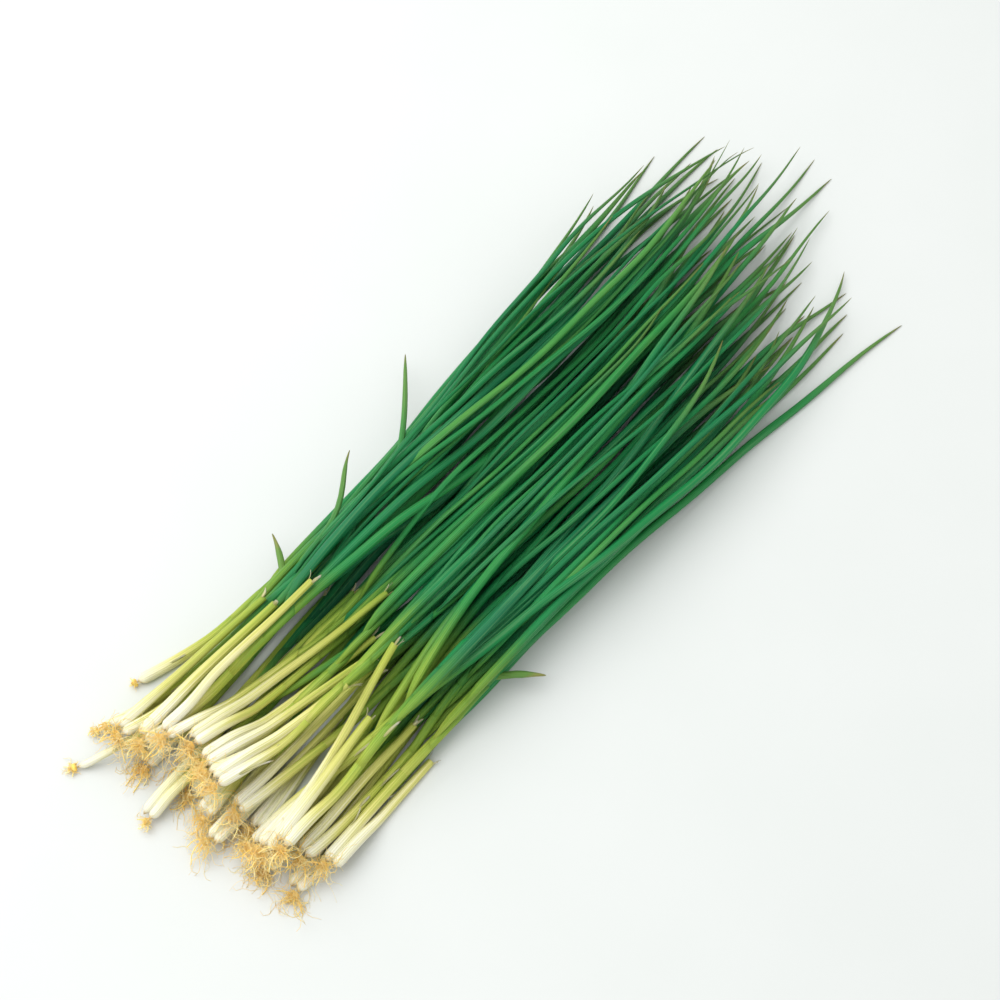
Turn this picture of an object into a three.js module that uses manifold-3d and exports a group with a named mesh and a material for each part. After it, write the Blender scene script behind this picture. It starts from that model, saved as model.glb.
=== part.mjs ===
// A loose bunch of chives, pulled with their roots and laid flat on a table.
// +X runs along the bunch from the roots to the leaf tips, +Y across it, +Z up. Millimetres.
// Every plant is a white bulb, a pale sheath and the hollow green leaves that part from it. Some have a
// second shoot whose leaves were cut off. A plant's tan roots are a second body, close behind the bulb. The
// plants are laid one after another, and each comes to rest on the table and on those that already lie there.
import * as THREE from "three";
import { mergeVertices } from "three/addons/utils/BufferGeometryUtils.js";
import Module from "manifold-3d";

const wasm = await Module();
wasm.setup();

// ---- The shoot ----
const BULB_RADIUS = 2.5;
const BULB_LENGTH = 13;
const FOOT_RADIUS = 1.5; // where the bulb ends at the roots
const FOOT_LENGTH = 3.5; // from there to the bulb's full radius
const SHEATH_RADIUS = 1.95;
const SHEATH_FROM = 30; // from the foot to where the bulb has thinned to the sheath
const TWIN_GAP = 3.5; // between the axes of two bulbs that share their roots
const CUT_WIDTH = 0.85; // of a cut shoot's end, as a share of the sheath's
const SHOOT_SIDES = 5;
const PLANT_WIDTH = { least: 0.84, most: 1.04 }; // of the widths given here and below

// ---- The leaves ----
const LEAF_RADIUS = { least: 1.6, most: 2.1 };
const TIP_RADIUS = 0.42;
const TIP_LENGTH = 9; // from the last ring to the point
const TAPER_FROM = 0.6; // share of a leaf's length where it starts to thin
const TAPER = 0.82; // share of its radius that a leaf has lost by its point
const TAPER_POWER = 3.2; // how late in its thinning stretch a leaf thins
const FIRST_PARTING = 58; // from the foot to where the lowest leaf leaves the sheath
const NEXT_PARTING = 15; // from one leaf's parting to the next
const PARTING_RADIUS = 1.25; // of a side leaf inside the sheath
const PARTING_LENGTH = 16; // from there to most of its width
const PARTING_WIDTH = 0.75; // the share of its growth in width that is done there
const RING_STEP = 46; // along a leaf
const STRAY_WIDTH = 0.72; // of a stray leaf, as a share of the others
const STRAY_RINGS = 3; // on the stretch of a stray leaf that stands off the bunch
const STRAY_TURN = 0.8; // share of its tip's heading that a stray leaf has where it leaves the bunch

// ---- The roots ----
const PLATE_RADIUS = 1.7; // the root plate behind the bulb
const PLATE_LENGTH = 1.5;
const PLATE_END = 0.6; // of its radius, at its far end
const PLATE_GAP = 0.35; // between bulb and plate
const PLATE_SIDES = 4;
const ROOT_START = 0.6; // from the plate's middle to where a root starts inside it
const ROOT_RADIUS = 0.5;
const ROOT_LENGTH = { least: 4, most: 10 };
const ROOT_THINNING = 0.3;
const ROOT_FAN = 74; // degrees to each side of straight back
const ROOT_CURL = 110; // degrees at most that a root turns back along its length
const ROOT_AWRY = 6; // degrees at most off an even fan
const ROOTS_PER_PLANT = 4;
const ROOT_RINGS = 3;
const ROOT_SIDES = 3;

// ---- How things lie ----
// bend, per mm: what lies over a support sags beside it by this times the distance squared.
const STEM_BEND = 0.012; // from the foot to STEM_TO
const LEAF_BEND = 0.003; // from LEAF_FROM on, and of every side leaf
const STEM_TO = 30;
const LEAF_FROM = 100;
const ROOT_BEND = 0.045;
const AIR = 0.22; // kept between two plants
const SIDE_LIFT = 0.06; // off the table, of all but a shoot's own line
const SHOOT_PULL = 0.34; // share of its length over which a shoot turns into its tip's heading
const LEAF_PULL = 0.3; // the same at both ends of a side leaf
const STRAY_PULL = 0.4; // and of the stretch of a stray leaf that stands off the bunch
const OWN_FROM = 45; // from its parting to where a leaf lies on the others of its own plant
// sideways, of a line that looks for a hollow
const SHIFTS = [0, -3, 3, -6, 6, -9, 9, -12, 12, -15, 15, -18, 18];
const NECK_SHIFT = 0.5; // the share of its shift that a shoot has at its neck
const PARTING_SHIFT = 0.6; // and a side leaf near its parting
const SHIFT_COST = 0.05; // in mm of height, per mm of shift

// ---- The bunch's edges ----
// They are nearest each other at the waist and widen from there. slope: how far in, per mm of height.
const WAIST_X = -45;
const LEFT_EDGE = { waist: 41.5, widening: 0.17, most: 59, slope: 0.3 };
const RIGHT_EDGE = { waist: 48, widening: 0.1, most: 61, slope: 0.1 };
const EDGES_FROM_X = -125;
const FREE_END = 70; // of a line's length, which may cross an edge
const EDGE_COST = 2; // in mm of height, per mm over an edge

const CELL = 0.25; // of the height map
const MAP = { fromX: -230, toX: 240, fromY: -110, toY: 110 };
const ACROSS = 12; // samples from a tube's axis to its side
const ALONG = 1; // from one sample to the next along a tube that comes to rest

const WELD = 0.008; // two vertices nearer than this are brought to one

// ---- The plants, in the order they are laid ----
// foot: where the bulb starts. neck: the point the sheath heads for. tips: where the leaves end, and the way
// each tip points in degrees from +X. The first tip ends the shoot's own line, and the rest part from it.
// stray: a leaf that leaves the bunch. cut: the end of a second shoot. thin: a smaller plant's share of
// width. roots: the share of their length that is left.
const UNDER_PLANTS = 10;
const UNDER = { footX: -166, neckX: -90, fromY: -44, toY: 37 };
const UNDER_TIPS = { fromX: 126, toX: 166, fromY: -50, toY: 50, apart: 8 };
const UNDER_SPREAD = { footX: 7, footY: 3, neckY: 4, tipX: 32, tipY: 3, heading: 6 };
const UNDER_CUT = { fromX: -88, step: 14, aside: 8 };

const UPPER = [
  { foot: [-149, 58], neck: [-106, 48], tips: [[133, 63, 13], [128, 53, -8]],
    stray: { leaves: [-10, 44], tip: [25, 74, 42] }, roots: 0.25 },
  { foot: [-173, 55], neck: [-113, 30], tips: [[157, 55, -4], [172, 36, 5]],
    stray: { leaves: [-84, 39], tip: [-71, 58, 64] }, roots: 0.4 },
  { foot: [-170, 52], neck: [-114, 34], tips: [[150, 46, 0], [188, 29, -17], [168, 37, 6]],
    stray: { leaves: [-52, 40], tip: [-27, 56, 28] }, roots: 0.4 },
  { foot: [-189, 51], neck: [-134, 24], tips: [[96, 48, 0], [62, 30, 3]], thin: 0.72, roots: 0.4 },
  { foot: [-186, 15], neck: [-113, 2], tips: [[190, 1, 2], [128, -19, -5], [186, 27, 7]], cut: [-68, 17],
    roots: 0.5 },
  { foot: [-177, -8], neck: [-102, -10], tips: [[166, 12, 7], [140, -5, -4], [172, -16, -3]],
    cut: [-87, -14] },
  { foot: [-162, -31], neck: [-104, -35], tips: [[98, -48, -2], [140, -40, 4]] },
  { foot: [-170, 44], neck: [-103, 33], tips: [[187, 40, 15], [176, 33, 2], [160, 45, 8]], cut: [-96, 37] },
  { foot: [-159, -41], neck: [-100, -42], tips: [[172, -44, -20], [164, -51, 4], [120, -36, 6]],
    cut: [-93, -37] },
  { foot: [-155, -48], neck: [-95, -46], tips: [[175, -71, -7], [156, -39, 8], [118, -55, -6]],
    stray: { leaves: [-59, -46.5], tip: [-44, -62, -52] }, cut: [-98, -50] },
  { foot: [-167, 34], neck: [-111, 26], tips: [[196, 27, -6], [170, 20, 3], [182, 36, 12]], cut: [-96, 31] },
  { foot: [-163, -11], neck: [-91, -24], tips: [[160, -22, 10], [180, -10, 2], [126, -30, -4]],
    cut: [-90, -12] },
  { foot: [-161, 28], neck: [-94, 15], tips: [[200, 23, 6], [176, 8, -6], [152, 22, 10]], cut: [-81, 25] },
  { foot: [-168, -22], neck: [-105, -29], tips: [[136, -36, 25], [152, -28, 2], [108, -20, 5]] },
  { foot: [-156, 18], neck: [-94, 5], tips: [[216, 7, 3], [186, 15, 8], [168, -4, -6]], cut: [-62, 4] },
  { foot: [-159, 9], neck: [-96, -6], tips: [[213, -5, -8], [190, -2, -3], [158, 4, 5]], cut: [-78, -4] },
  { foot: [-161, 5], neck: [-105, -13], tips: [[199, -14, 1], [174, -24, -8]], cut: [-79, -11] },
  { foot: [-163, -2], neck: [-119, -9], tips: [[180, -9, -6], [146, 2, 3]], cut: [-102, -12] },
  { foot: [-168, -28], neck: [-112, -18], tips: [[179, -37, 30], [132, -12, -5], [150, -2, 6]],
    cut: [-78, -15] },
  { foot: [-163, -36], neck: [-111, -28], tips: [[156, -14, 8], [118, -44, -14]], cut: [-104, -25] },
];

// ---- Small tools ----
const { clamp, lerp, degToRad, radToDeg } = THREE.MathUtils;
const towards = (degrees) => new THREE.Vector2(Math.cos(degToRad(degrees)), Math.sin(degToRad(degrees)));
const flatOf = (sides) => Math.cos(Math.PI / sides); // from a tube's axis to its flat side, in radii

let drawn = 20;
// The next of a fixed row of numbers from 0 to 1.
function draw() {
  drawn = (Math.imul(drawn, 1664525) + 1013904223) >>> 0;
  return drawn / 4294967296;
}
const about = (spread) => spread * (2 * draw() - 1);

// ---- Routes in plan: one or more curves, end to end ----
const routeLength = (route) => route.reduce((sum, curve) => sum + curve.getLength(), 0);

function pointOn(route, distance) {
  let rest = distance;
  for (const curve of route) {
    const length = curve.getLength();
    if (rest <= length || curve === route.at(-1)) return curve.getPointAt(Math.min(1, rest / length));
    rest -= length;
  }
}

// The way a route runs at a distance.
const headingOn = (route, distance) => pointOn(route, distance + 1).sub(pointOn(route, distance)).normalize();

// A curve that leaves the start along a heading and comes to the end along another.
function curveBetween(start, startHeading, end, endHeading, pull, shift = 0) {
  const reach = pull * start.distanceTo(end);
  const after = start.clone().addScaledVector(startHeading, reach);
  const before = end.clone().addScaledVector(endHeading, -reach);
  return new THREE.CubicBezierCurve(
    start, after.setY(after.y + PARTING_SHIFT * shift), before.setY(before.y + shift), end);
}

// Distances from the first to the last in steps of about RING_STEP, without the first.
function evenSteps(from, to) {
  const count = Math.max(1, Math.round((to - from) / RING_STEP));
  return Array.from({ length: count }, (_, i) => lerp(from, to, (i + 1) / count));
}

const leafBend = () => LEAF_BEND;
const stemBend = (distance) =>
  lerp(STEM_BEND, LEAF_BEND, clamp((distance - STEM_TO) / (LEAF_FROM - STEM_TO), 0, 1));

// A line is a tube's knots in plan and its radii there, with how it lies. rings holds [distance, radius].
function lineOf(route, rings, bendAt, width, at, ownFrom) {
  return {
    route,
    knots: rings.map(([distance]) => pointOn(route, distance)),
    radii: rings.map(([, radius]) => width * radius),
    flat: flatOf(SHOOT_SIDES),
    bends: rings.map(([distance]) => bendAt(distance)),
    lift: ownFrom ? SIDE_LIFT : 0,
    at,
    ownFrom,
  };
}

// ---- The height map: how high what already lies reaches, over every cell of the table ----
const columns = Math.round((MAP.toX - MAP.fromX) / CELL);
const rows = Math.round((MAP.toY - MAP.fromY) / CELL);
const heightMap = new Float64Array(columns * rows); // of the plants already laid
const ownMap = new Float64Array(columns * rows); // of the plant that is being laid
const cellAt = (x, y) =>
  Math.floor((x - MAP.fromX) / CELL) * rows + Math.floor((y - MAP.fromY) / CELL);

// How far a round tube stands above its axis at each of its samples, in radii.
const RISES = Array.from({ length: 2 * ACROSS + 1 }, (_, i) => Math.sqrt(1 - ((i - ACROSS) / ACROSS) ** 2));

// Calls visit(cells, place) at every step along a tube. place holds the knot before it, the share of the
// way to the next, the radius and the distance from the start. cells holds the cells from side to side.
function alongTube({ knots, radii }, step, visit) {
  let run = 0;
  for (let k = 0; k + 1 < knots.length; k++) {
    const chord = knots[k + 1].clone().sub(knots[k]);
    const length = chord.length();
    if (length < 1e-6) continue;
    const side = new THREE.Vector2(chord.y, -chord.x).divideScalar(length);
    const steps = Math.ceil(length / step);
    for (let i = 0; i <= steps; i++) {
      const t = i / steps;
      const radius = lerp(radii[k], radii[k + 1], t);
      const cells = RISES.map((_, j) => {
        const off = radius * ((j - ACROSS) / ACROSS);
        return cellAt(knots[k].x + chord.x * t + side.x * off, knots[k].y + chord.y * t + side.y * off);
      });
      visit(cells, { k, t, radius, distance: run + length * t });
    }
    run += length;
  }
}

// The heights at which a tube comes to rest: clear of everything under it, and no more bent than bends.
// least holds, for some of its knots, a height that the knot may not lie below.
function restingHeights(line, least = []) {
  const { knots, radii, flat, bends, lift, ownFrom } = line;
  const supports = [];
  alongTube(line, ALONG, (cells, place) => {
    let height = flat * place.radius + lift;
    cells.forEach((cell, j) => {
      const top = place.distance > ownFrom ? Math.max(heightMap[cell], ownMap[cell]) : heightMap[cell];
      if (top > 0) height = Math.max(height, top + place.radius * RISES[j] + AIR);
    });
    supports.push({ ...place, height });
  });
  const along = [0];
  for (let k = 1; k < knots.length; k++) along.push(along[k - 1] + knots[k].distanceTo(knots[k - 1]));
  const lowest = radii.map((radius, k) => Math.max(flat * radius + lift, least[k] ?? 0));
  const props = [...supports, ...along.map((distance, k) => ({ distance, height: lowest[k] }))];
  const heights = along.map((here, k) => {
    const held = props.map(({ distance, height }) => height - bends[k] * (here - distance) ** 2);
    return Math.max(0, ...held);
  });
  raiseChords(heights, supports);
  fillValleys(heights, along, bends);
  return heights;
}

// Raises the two ends of a chord that passes below what it must clear, the worst place first.
function raiseChords(heights, supports) {
  const enough = 0.001;
  for (let pass = 0; pass < 200; pass++) {
    let worst;
    let most = enough;
    for (const support of supports) {
      const missing = support.height - lerp(heights[support.k], heights[support.k + 1], support.t);
      if (missing <= most) continue;
      worst = support;
      most = missing;
    }
    if (!worst) return;
    const { k, t } = worst;
    const share = (1 - t) ** 2 + t ** 2;
    heights[k] += (most * (1 - t)) / share;
    heights[k + 1] += (most * t) / share;
  }
}

// Raises each knot that its neighbours would hold up.
function fillValleys(heights, along, bends) {
  for (let pass = 0; pass < 4; pass++)
    for (let k = 1; k + 1 < heights.length; k++) {
      const before = along[k] - along[k - 1];
      const after = along[k + 1] - along[k];
      if (before + after < 1e-6) continue;
      const straight = (heights[k - 1] * after + heights[k + 1] * before) / (before + after);
      heights[k] = Math.max(heights[k], straight - bends[k] * before * after);
    }
}

// How far off the middle of the table an edge is, at a place along the bunch and a height.
const edgeAt = ({ waist, widening, most, slope }, x, height) =>
  Math.min(most, waist + widening * Math.abs(x - WAIST_X)) - slope * height;

// How far a line strays over the bunch's edges, its last stretch left out.
function mostOutside({ knots }, heights) {
  const end = knots.at(-1);
  const outside = knots.map((knot, k) => {
    if (knot.x <= EDGES_FROM_X || knot.distanceTo(end) <= FREE_END) return 0;
    const left = edgeAt(LEFT_EDGE, knot.x, heights[k]);
    const right = edgeAt(RIGHT_EDGE, knot.x, heights[k]);
    return Math.max(knot.y - left, -right - knot.y);
  });
  return Math.max(0, ...outside);
}

// Of the lines that make(shift) gives, the one that comes to rest lowest.
function lowestOf(make) {
  let best;
  for (const shift of SHIFTS) {
    const line = make(shift);
    const heights = restingHeights(line);
    const mean = heights.reduce((sum, height) => sum + height) / heights.length;
    const cost = mean + SHIFT_COST * Math.abs(shift) + EDGE_COST * mostOutside(line, heights);
    if (!best || cost < best.cost - 1e-6) best = { line, cost };
  }
  return best.line;
}

function addToOwn(line) {
  alongTube(line, CELL, (cells, { k, t, radius }) => {
    const height = lerp(line.heights[k], line.heights[k + 1], t);
    cells.forEach((cell, j) => {
      ownMap[cell] = Math.max(ownMap[cell], height + radius * RISES[j]);
    });
  });
}

function ownToMap() {
  ownMap.forEach((top, cell) => {
    if (top > heightMap[cell]) heightMap[cell] = top;
  });
  ownMap.fill(0);
}

// ---- Solids ----
// A tube through its knots: a lathed profile whose rings are carried to the knots and turned along the line.
function tubeSolid({ knots, radii, heights }, sides) {
  const places = knots.map((knot, k) => new THREE.Vector3(knot.x, knot.y, heights[k]));
  const tangents = places.map((place, k) => {
    let before = k;
    let after = k;
    while (before > 0 && places[before].distanceTo(place) < 1e-6) before--;
    while (after + 1 < places.length && places[after].distanceTo(place) < 1e-6) after++;
    return places[after].clone().sub(places[before]).normalize();
  });
  const last = radii.length - 1;
  const profile = radii.map((radius, k) => new THREE.Vector2(k === 0 || k === last ? 0 : radius, k));
  const lathe = new THREE.LatheGeometry(profile, sides, Math.PI + Math.PI / sides);
  const position = lathe.getAttribute("position");
  const vertex = new THREE.Vector3();
  for (let i = 0; i < position.count; i++) {
    vertex.fromBufferAttribute(position, i);
    const ring = Math.round(vertex.y);
    const side = new THREE.Vector3(tangents[ring].y, -tangents[ring].x, 0).normalize();
    const up = side.clone().cross(tangents[ring]);
    const place = places[ring].clone().addScaledVector(side, vertex.x).addScaledVector(up, vertex.z);
    position.setXYZ(i, place.x, place.y, place.z);
  }
  return solidOf(lathe, profile.length, sides);
}

// Drops the triangles that have two corners on one vertex.
function wholeTriangles(corners) {
  const whole = [];
  for (let i = 0; i < corners.length; i += 3) {
    const [a, b, c] = corners.slice(i, i + 3);
    if (a !== b && b !== c && c !== a) whole.push(a, b, c);
  }
  return whole;
}

// A lathe repeats its seam, and each of its poles once a side. They are brought to one vertex each here.
function solidOf(lathe, rings, sides) {
  const position = lathe.getAttribute("position");
  const single = Array.from({ length: position.count }, (_, i) => {
    const ring = i % rings;
    const turn = Math.floor(i / rings) % sides;
    return ring === 0 || ring === rings - 1 ? ring : turn * rings + ring;
  });
  const kept = [...new Set(single)].sort((a, b) => a - b);
  const renumbered = new Map(kept.map((vertex, i) => [vertex, i]));
  const triangles = wholeTriangles(Array.from(lathe.index.array, (i) => renumbered.get(single[i])));
  const points = kept.flatMap((i) => [position.getX(i), position.getY(i), position.getZ(i)]);
  return new wasm.Manifold(
    new wasm.Mesh({
      numProp: 3,
      vertProperties: new Float32Array(points),
      triVerts: new Uint32Array(triangles),
    }),
  );
}

// Joins solids into one, and fills any hollow that they shut in between them.
function fused(solids) {
  const all = solids.reduce((sum, solid) => sum.add(solid));
  return wasm.Manifold.compose(all.decompose().filter((body) => body.volume() > 0));
}

function meshOf(solid, name, material) {
  const { vertProperties, triVerts } = solid.getMesh();
  const joined = new THREE.BufferGeometry();
  joined.setAttribute("position", new THREE.BufferAttribute(new Float32Array(vertProperties), 3));
  joined.setIndex(new THREE.BufferAttribute(new Uint32Array(triVerts), 1));
  const geometry = mergeVertices(joined, WELD);
  geometry.setIndex(wholeTriangles(Array.from(geometry.index.array)));
  geometry.computeVertexNormals();
  const mesh = new THREE.Mesh(geometry, material);
  mesh.name = name;
  return mesh;
}

// ---- The parts of a plant ----
const partingAt = (i) => FIRST_PARTING + NEXT_PARTING * i;
const BULB_RINGS = [
  [0, 0],
  [0, FOOT_RADIUS],
  [FOOT_LENGTH, BULB_RADIUS],
  [BULB_LENGTH, 0.95 * BULB_RADIUS],
  [SHEATH_FROM, 1.04 * SHEATH_RADIUS],
];

const WIDEST_RING = 2; // where twin bulbs touch, and so lie level

// A leaf's radius at a share of its length: full to TAPER_FROM, then thinning to its point.
function leafRadius(full, share) {
  const thinning = Math.max(0, (share - TAPER_FROM) / (1 - TAPER_FROM));
  return Math.max(TIP_RADIUS, full * (1 - TAPER * thinning ** TAPER_POWER));
}

// The shoot's own line: bulb, sheath and the leaf that ends it.
function shootLine(foot, neck, [tipX, tipY, tipHeading], full, width, partings, shift) {
  const tip = new THREE.Vector2(tipX, tipY);
  const before = tip.clone().addScaledVector(towards(tipHeading), -SHOOT_PULL * foot.distanceTo(tip));
  const route = [new THREE.CubicBezierCurve(
    foot, neck.clone().setY(neck.y + NECK_SHIFT * shift), before.setY(before.y + shift), tip)];
  const length = routeLength(route);
  const lastParting = partingAt(partings - 1);
  const distances = [
    ...Array.from({ length: partings }, (_, i) => partingAt(i)),
    ...evenSteps(lastParting, length - TIP_LENGTH),
  ];
  const rings = distances.map((distance) => [
    distance,
    lerp(SHEATH_RADIUS, leafRadius(full, distance / length), Math.min(1, distance / lastParting)),
  ]);
  return lineOf(route, [...BULB_RINGS, ...rings, [length, 0]], stemBend, width, 0, 0);
}

// A leaf that leaves the shoot's line at its parting of that number. It ends at its tip, or if it is a stray
// it first runs along the bunch to where it leaves it.
function sideLeaf(shoot, number, { leaves, tip: [tipX, tipY, tipHeading] }, full, width, shift) {
  const start = pointOn(shoot.route, partingAt(number));
  const heading = headingOn(shoot.route, partingAt(number));
  const tip = new THREE.Vector2(tipX, tipY);
  const target = leaves ? new THREE.Vector2(...leaves) : tip;
  const leaving = target.clone().sub(start).normalize().multiplyScalar(2).sub(heading).normalize();
  const along = towards(leaves ? STRAY_TURN * tipHeading : tipHeading);
  const route = [curveBetween(start, leaving, target, along, LEAF_PULL, leaves ? 0 : shift)];
  const inBunch = routeLength(route);
  if (leaves) route.push(curveBetween(target, along, tip, towards(tipHeading), STRAY_PULL));
  const length = routeLength(route);
  const distances = leaves
    ? [...evenSteps(PARTING_LENGTH, inBunch),
      ...Array.from({ length: STRAY_RINGS }, (_, i) => lerp(inBunch, length, (i + 1) / (STRAY_RINGS + 1)))]
    : evenSteps(PARTING_LENGTH, length - TIP_LENGTH);
  const rings = distances.map((distance) => [distance, leafRadius(full, distance / length)]);
  const first = [[0, 0], [0, PARTING_RADIUS], [PARTING_LENGTH, lerp(PARTING_RADIUS, full, PARTING_WIDTH)]];
  const at = BULB_RINGS.length + number;
  return lineOf(route, [...first, ...rings, [length, 0]], leafBend, width, at, OWN_FROM);
}

// A second shoot whose leaves were cut off, with a blunt end.
function cutShoot(foot, end, width) {
  const route = [new THREE.LineCurve(foot, end)];
  const length = routeLength(route);
  const rings = [...BULB_RINGS, [length, CUT_WIDTH * SHEATH_RADIUS], [length, 0]];
  return { ...lineOf(route, rings, stemBend, width, 1, 2 * OWN_FROM), twin: true };
}

// The root plate and the roots lie from the foot, and free of their own plant.
function rootTube(knots, radii, sides) {
  const bends = knots.map(() => ROOT_BEND);
  return { knots, radii, flat: flatOf(sides), bends, lift: SIDE_LIFT, at: 1, ownFrom: Infinity };
}

// One root: from the plate outwards, turning back as it goes.
function rootLine(start, heading, curl, length) {
  const knots = [start, start];
  for (let i = 1; i <= ROOT_RINGS; i++) {
    const turned = towards(heading + curl * ((i - 0.5) / ROOT_RINGS));
    knots.push(knots.at(-1).clone().addScaledVector(turned, length / ROOT_RINGS));
  }
  knots.push(knots.at(-1));
  const radii = knots.map((_, k) => ROOT_RADIUS * (1 - ROOT_THINNING * (k / knots.length)));
  radii[0] = 0;
  radii[radii.length - 1] = 0;
  return rootTube(knots, radii, ROOT_SIDES);
}

// Lays one plant: works out its lines, lets them rest, and returns its two solids.
function layPlant({ foot, neck, tips, stray, cut, thin = 1, roots: rootsLeft = 1 }) {
  const footAt = new THREE.Vector2(...foot);
  const neckAt = new THREE.Vector2(...neck);
  const sideTips = [...tips.slice(1).map((tip) => ({ tip })), ...(stray ? [stray] : [])];
  const width = thin * lerp(PLANT_WIDTH.least, PLANT_WIDTH.most, draw());
  const full = [tips[0], ...sideTips].map(() => lerp(LEAF_RADIUS.least, LEAF_RADIUS.most, draw()));
  if (stray) full[full.length - 1] *= STRAY_WIDTH;
  const shoot = lowestOf((shift) =>
    shootLine(footAt, neckAt, tips[0], full[0], width, sideTips.length, shift));
  const shoots = sideTips.map((sideTip, i) =>
    lowestOf((shift) => sideLeaf(shoot, i, sideTip, full[i + 1], width, shift)));

  const heading = headingOn(shoot.route, 0);
  if (cut) {
    const end = new THREE.Vector2(...cut);
    const left = new THREE.Vector2(-heading.y, heading.x);
    const side = Math.sign(left.dot(end.clone().sub(footAt)));
    shoots.push(cutShoot(footAt.clone().addScaledVector(left, side * width * TWIN_GAP), end, width));
  }
  const plateStart = footAt.clone().addScaledVector(heading, -PLATE_GAP);
  const plateEnd = plateStart.clone().addScaledVector(heading, -PLATE_LENGTH);
  const back = radToDeg(Math.atan2(-heading.y, -heading.x));
  const plateMiddle = plateStart.clone().lerp(plateEnd, 0.5);
  const roots = Array.from({ length: ROOTS_PER_PLANT }, (_, i) => {
    const fan = lerp(-ROOT_FAN, ROOT_FAN, i / (ROOTS_PER_PLANT - 1));
    const length = rootsLeft * lerp(ROOT_LENGTH.least, ROOT_LENGTH.most, draw());
    const curl = -Math.sign(fan || 1) * ROOT_CURL * draw();
    const start = plateMiddle.clone().addScaledVector(towards(back + fan), ROOT_START);
    return rootLine(start, back + fan + about(ROOT_AWRY), curl, length);
  });

  const plateRadii = [0, PLATE_RADIUS, PLATE_END * PLATE_RADIUS, 0];
  const plate = rootTube([plateStart, plateStart, plateEnd, plateEnd], plateRadii, PLATE_SIDES);

  // What starts from the shoot lifts it, and then starts at the shoot's own height.
  const joined = [...shoots, plate, ...roots];
  const least = [];
  const keepOver = (ring, height) => {
    least[ring] = Math.max(least[ring] ?? 0, height);
  };
  for (const line of joined) {
    const alone = restingHeights(line);
    keepOver(line.at, alone[0]);
    if (line.twin) keepOver(WIDEST_RING, alone[WIDEST_RING]);
  }
  shoot.heights = restingHeights(shoot, least);
  addToOwn(shoot);
  for (const line of joined) {
    const start = shoot.heights[line.at];
    const level = line.twin ? [start, start, shoot.heights[WIDEST_RING]] : [start, start];
    line.heights = restingHeights(line, level).fill(start, 0, 2);
    addToOwn(line);
  }
  ownToMap();
  return {
    shootSolid: fused([shoot, ...shoots].map((line) => tubeSolid(line, SHOOT_SIDES))),
    rootSolid: fused([tubeSolid(plate, PLATE_SIDES), ...roots.map((line) => tubeSolid(line, ROOT_SIDES))]),
  };
}

// The plants at the bottom of the bunch lie side by side, evenly spread.
const underPlants = Array.from({ length: UNDER_PLANTS }, (_, i) => {
  const share = i / (UNDER_PLANTS - 1);
  const across = lerp(UNDER.fromY, UNDER.toY, share);
  const tipX = lerp(UNDER_TIPS.fromX, UNDER_TIPS.toX, share);
  const tipY = lerp(UNDER_TIPS.fromY, UNDER_TIPS.toY, share);
  const spread = UNDER_SPREAD;
  const tip = (offset) =>
    [tipX + about(spread.tipX), tipY + offset + about(spread.tipY), about(spread.heading)];
  return {
    foot: [UNDER.footX + about(spread.footX), across + about(spread.footY)],
    neck: [UNDER.neckX, across + about(spread.neckY)],
    tips: [tip(0), tip(-UNDER_TIPS.apart), tip(UNDER_TIPS.apart)],
    cut: [UNDER_CUT.fromX + UNDER_CUT.step * (i % 3), across + UNDER_CUT.aside],
  };
});

const shootMaterial = new THREE.MeshStandardMaterial({ color: "#2f8f45", roughness: 0.5, metalness: 0 });
const rootMaterial = new THREE.MeshStandardMaterial({ color: "#d9a860", roughness: 0.85, metalness: 0 });

const bunch = new THREE.Group();
[...underPlants, ...UPPER].forEach((plant, i) => {
  const number = String(i + 1).padStart(2, "0");
  const { shootSolid, rootSolid } = layPlant(plant);
  bunch.add(meshOf(shootSolid, `chive_${number}`, shootMaterial));
  bunch.add(meshOf(rootSolid, `roots_${number}`, rootMaterial));
});

// The origin goes to the bottom centre of the bunch's box.
const box = new THREE.Box3().setFromObject(bunch);
const centre = box.getCenter(new THREE.Vector3());
bunch.position.set(-centre.x, -centre.y, -box.min.z);

export default bunch;
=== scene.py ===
import math
from types import SimpleNamespace

import bpy
import numpy as np
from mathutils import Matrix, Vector


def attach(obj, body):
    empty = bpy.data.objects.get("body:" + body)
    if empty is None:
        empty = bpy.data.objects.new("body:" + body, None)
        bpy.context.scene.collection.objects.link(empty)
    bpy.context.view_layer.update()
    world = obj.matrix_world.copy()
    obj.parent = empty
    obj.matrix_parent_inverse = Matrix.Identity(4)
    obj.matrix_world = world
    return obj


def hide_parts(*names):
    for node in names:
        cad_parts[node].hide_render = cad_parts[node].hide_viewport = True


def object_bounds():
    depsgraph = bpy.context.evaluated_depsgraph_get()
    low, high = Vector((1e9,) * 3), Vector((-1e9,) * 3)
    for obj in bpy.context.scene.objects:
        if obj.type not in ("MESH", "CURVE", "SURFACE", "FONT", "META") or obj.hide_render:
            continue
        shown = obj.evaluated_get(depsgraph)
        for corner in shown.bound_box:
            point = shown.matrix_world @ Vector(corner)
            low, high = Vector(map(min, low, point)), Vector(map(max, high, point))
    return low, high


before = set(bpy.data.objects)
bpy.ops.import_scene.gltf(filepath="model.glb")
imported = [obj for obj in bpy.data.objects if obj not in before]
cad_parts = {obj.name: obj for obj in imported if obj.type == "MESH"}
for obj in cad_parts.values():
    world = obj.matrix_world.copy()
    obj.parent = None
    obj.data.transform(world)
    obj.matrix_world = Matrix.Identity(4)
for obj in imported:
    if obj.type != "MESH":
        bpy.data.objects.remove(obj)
cad_low, cad_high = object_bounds()

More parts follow.
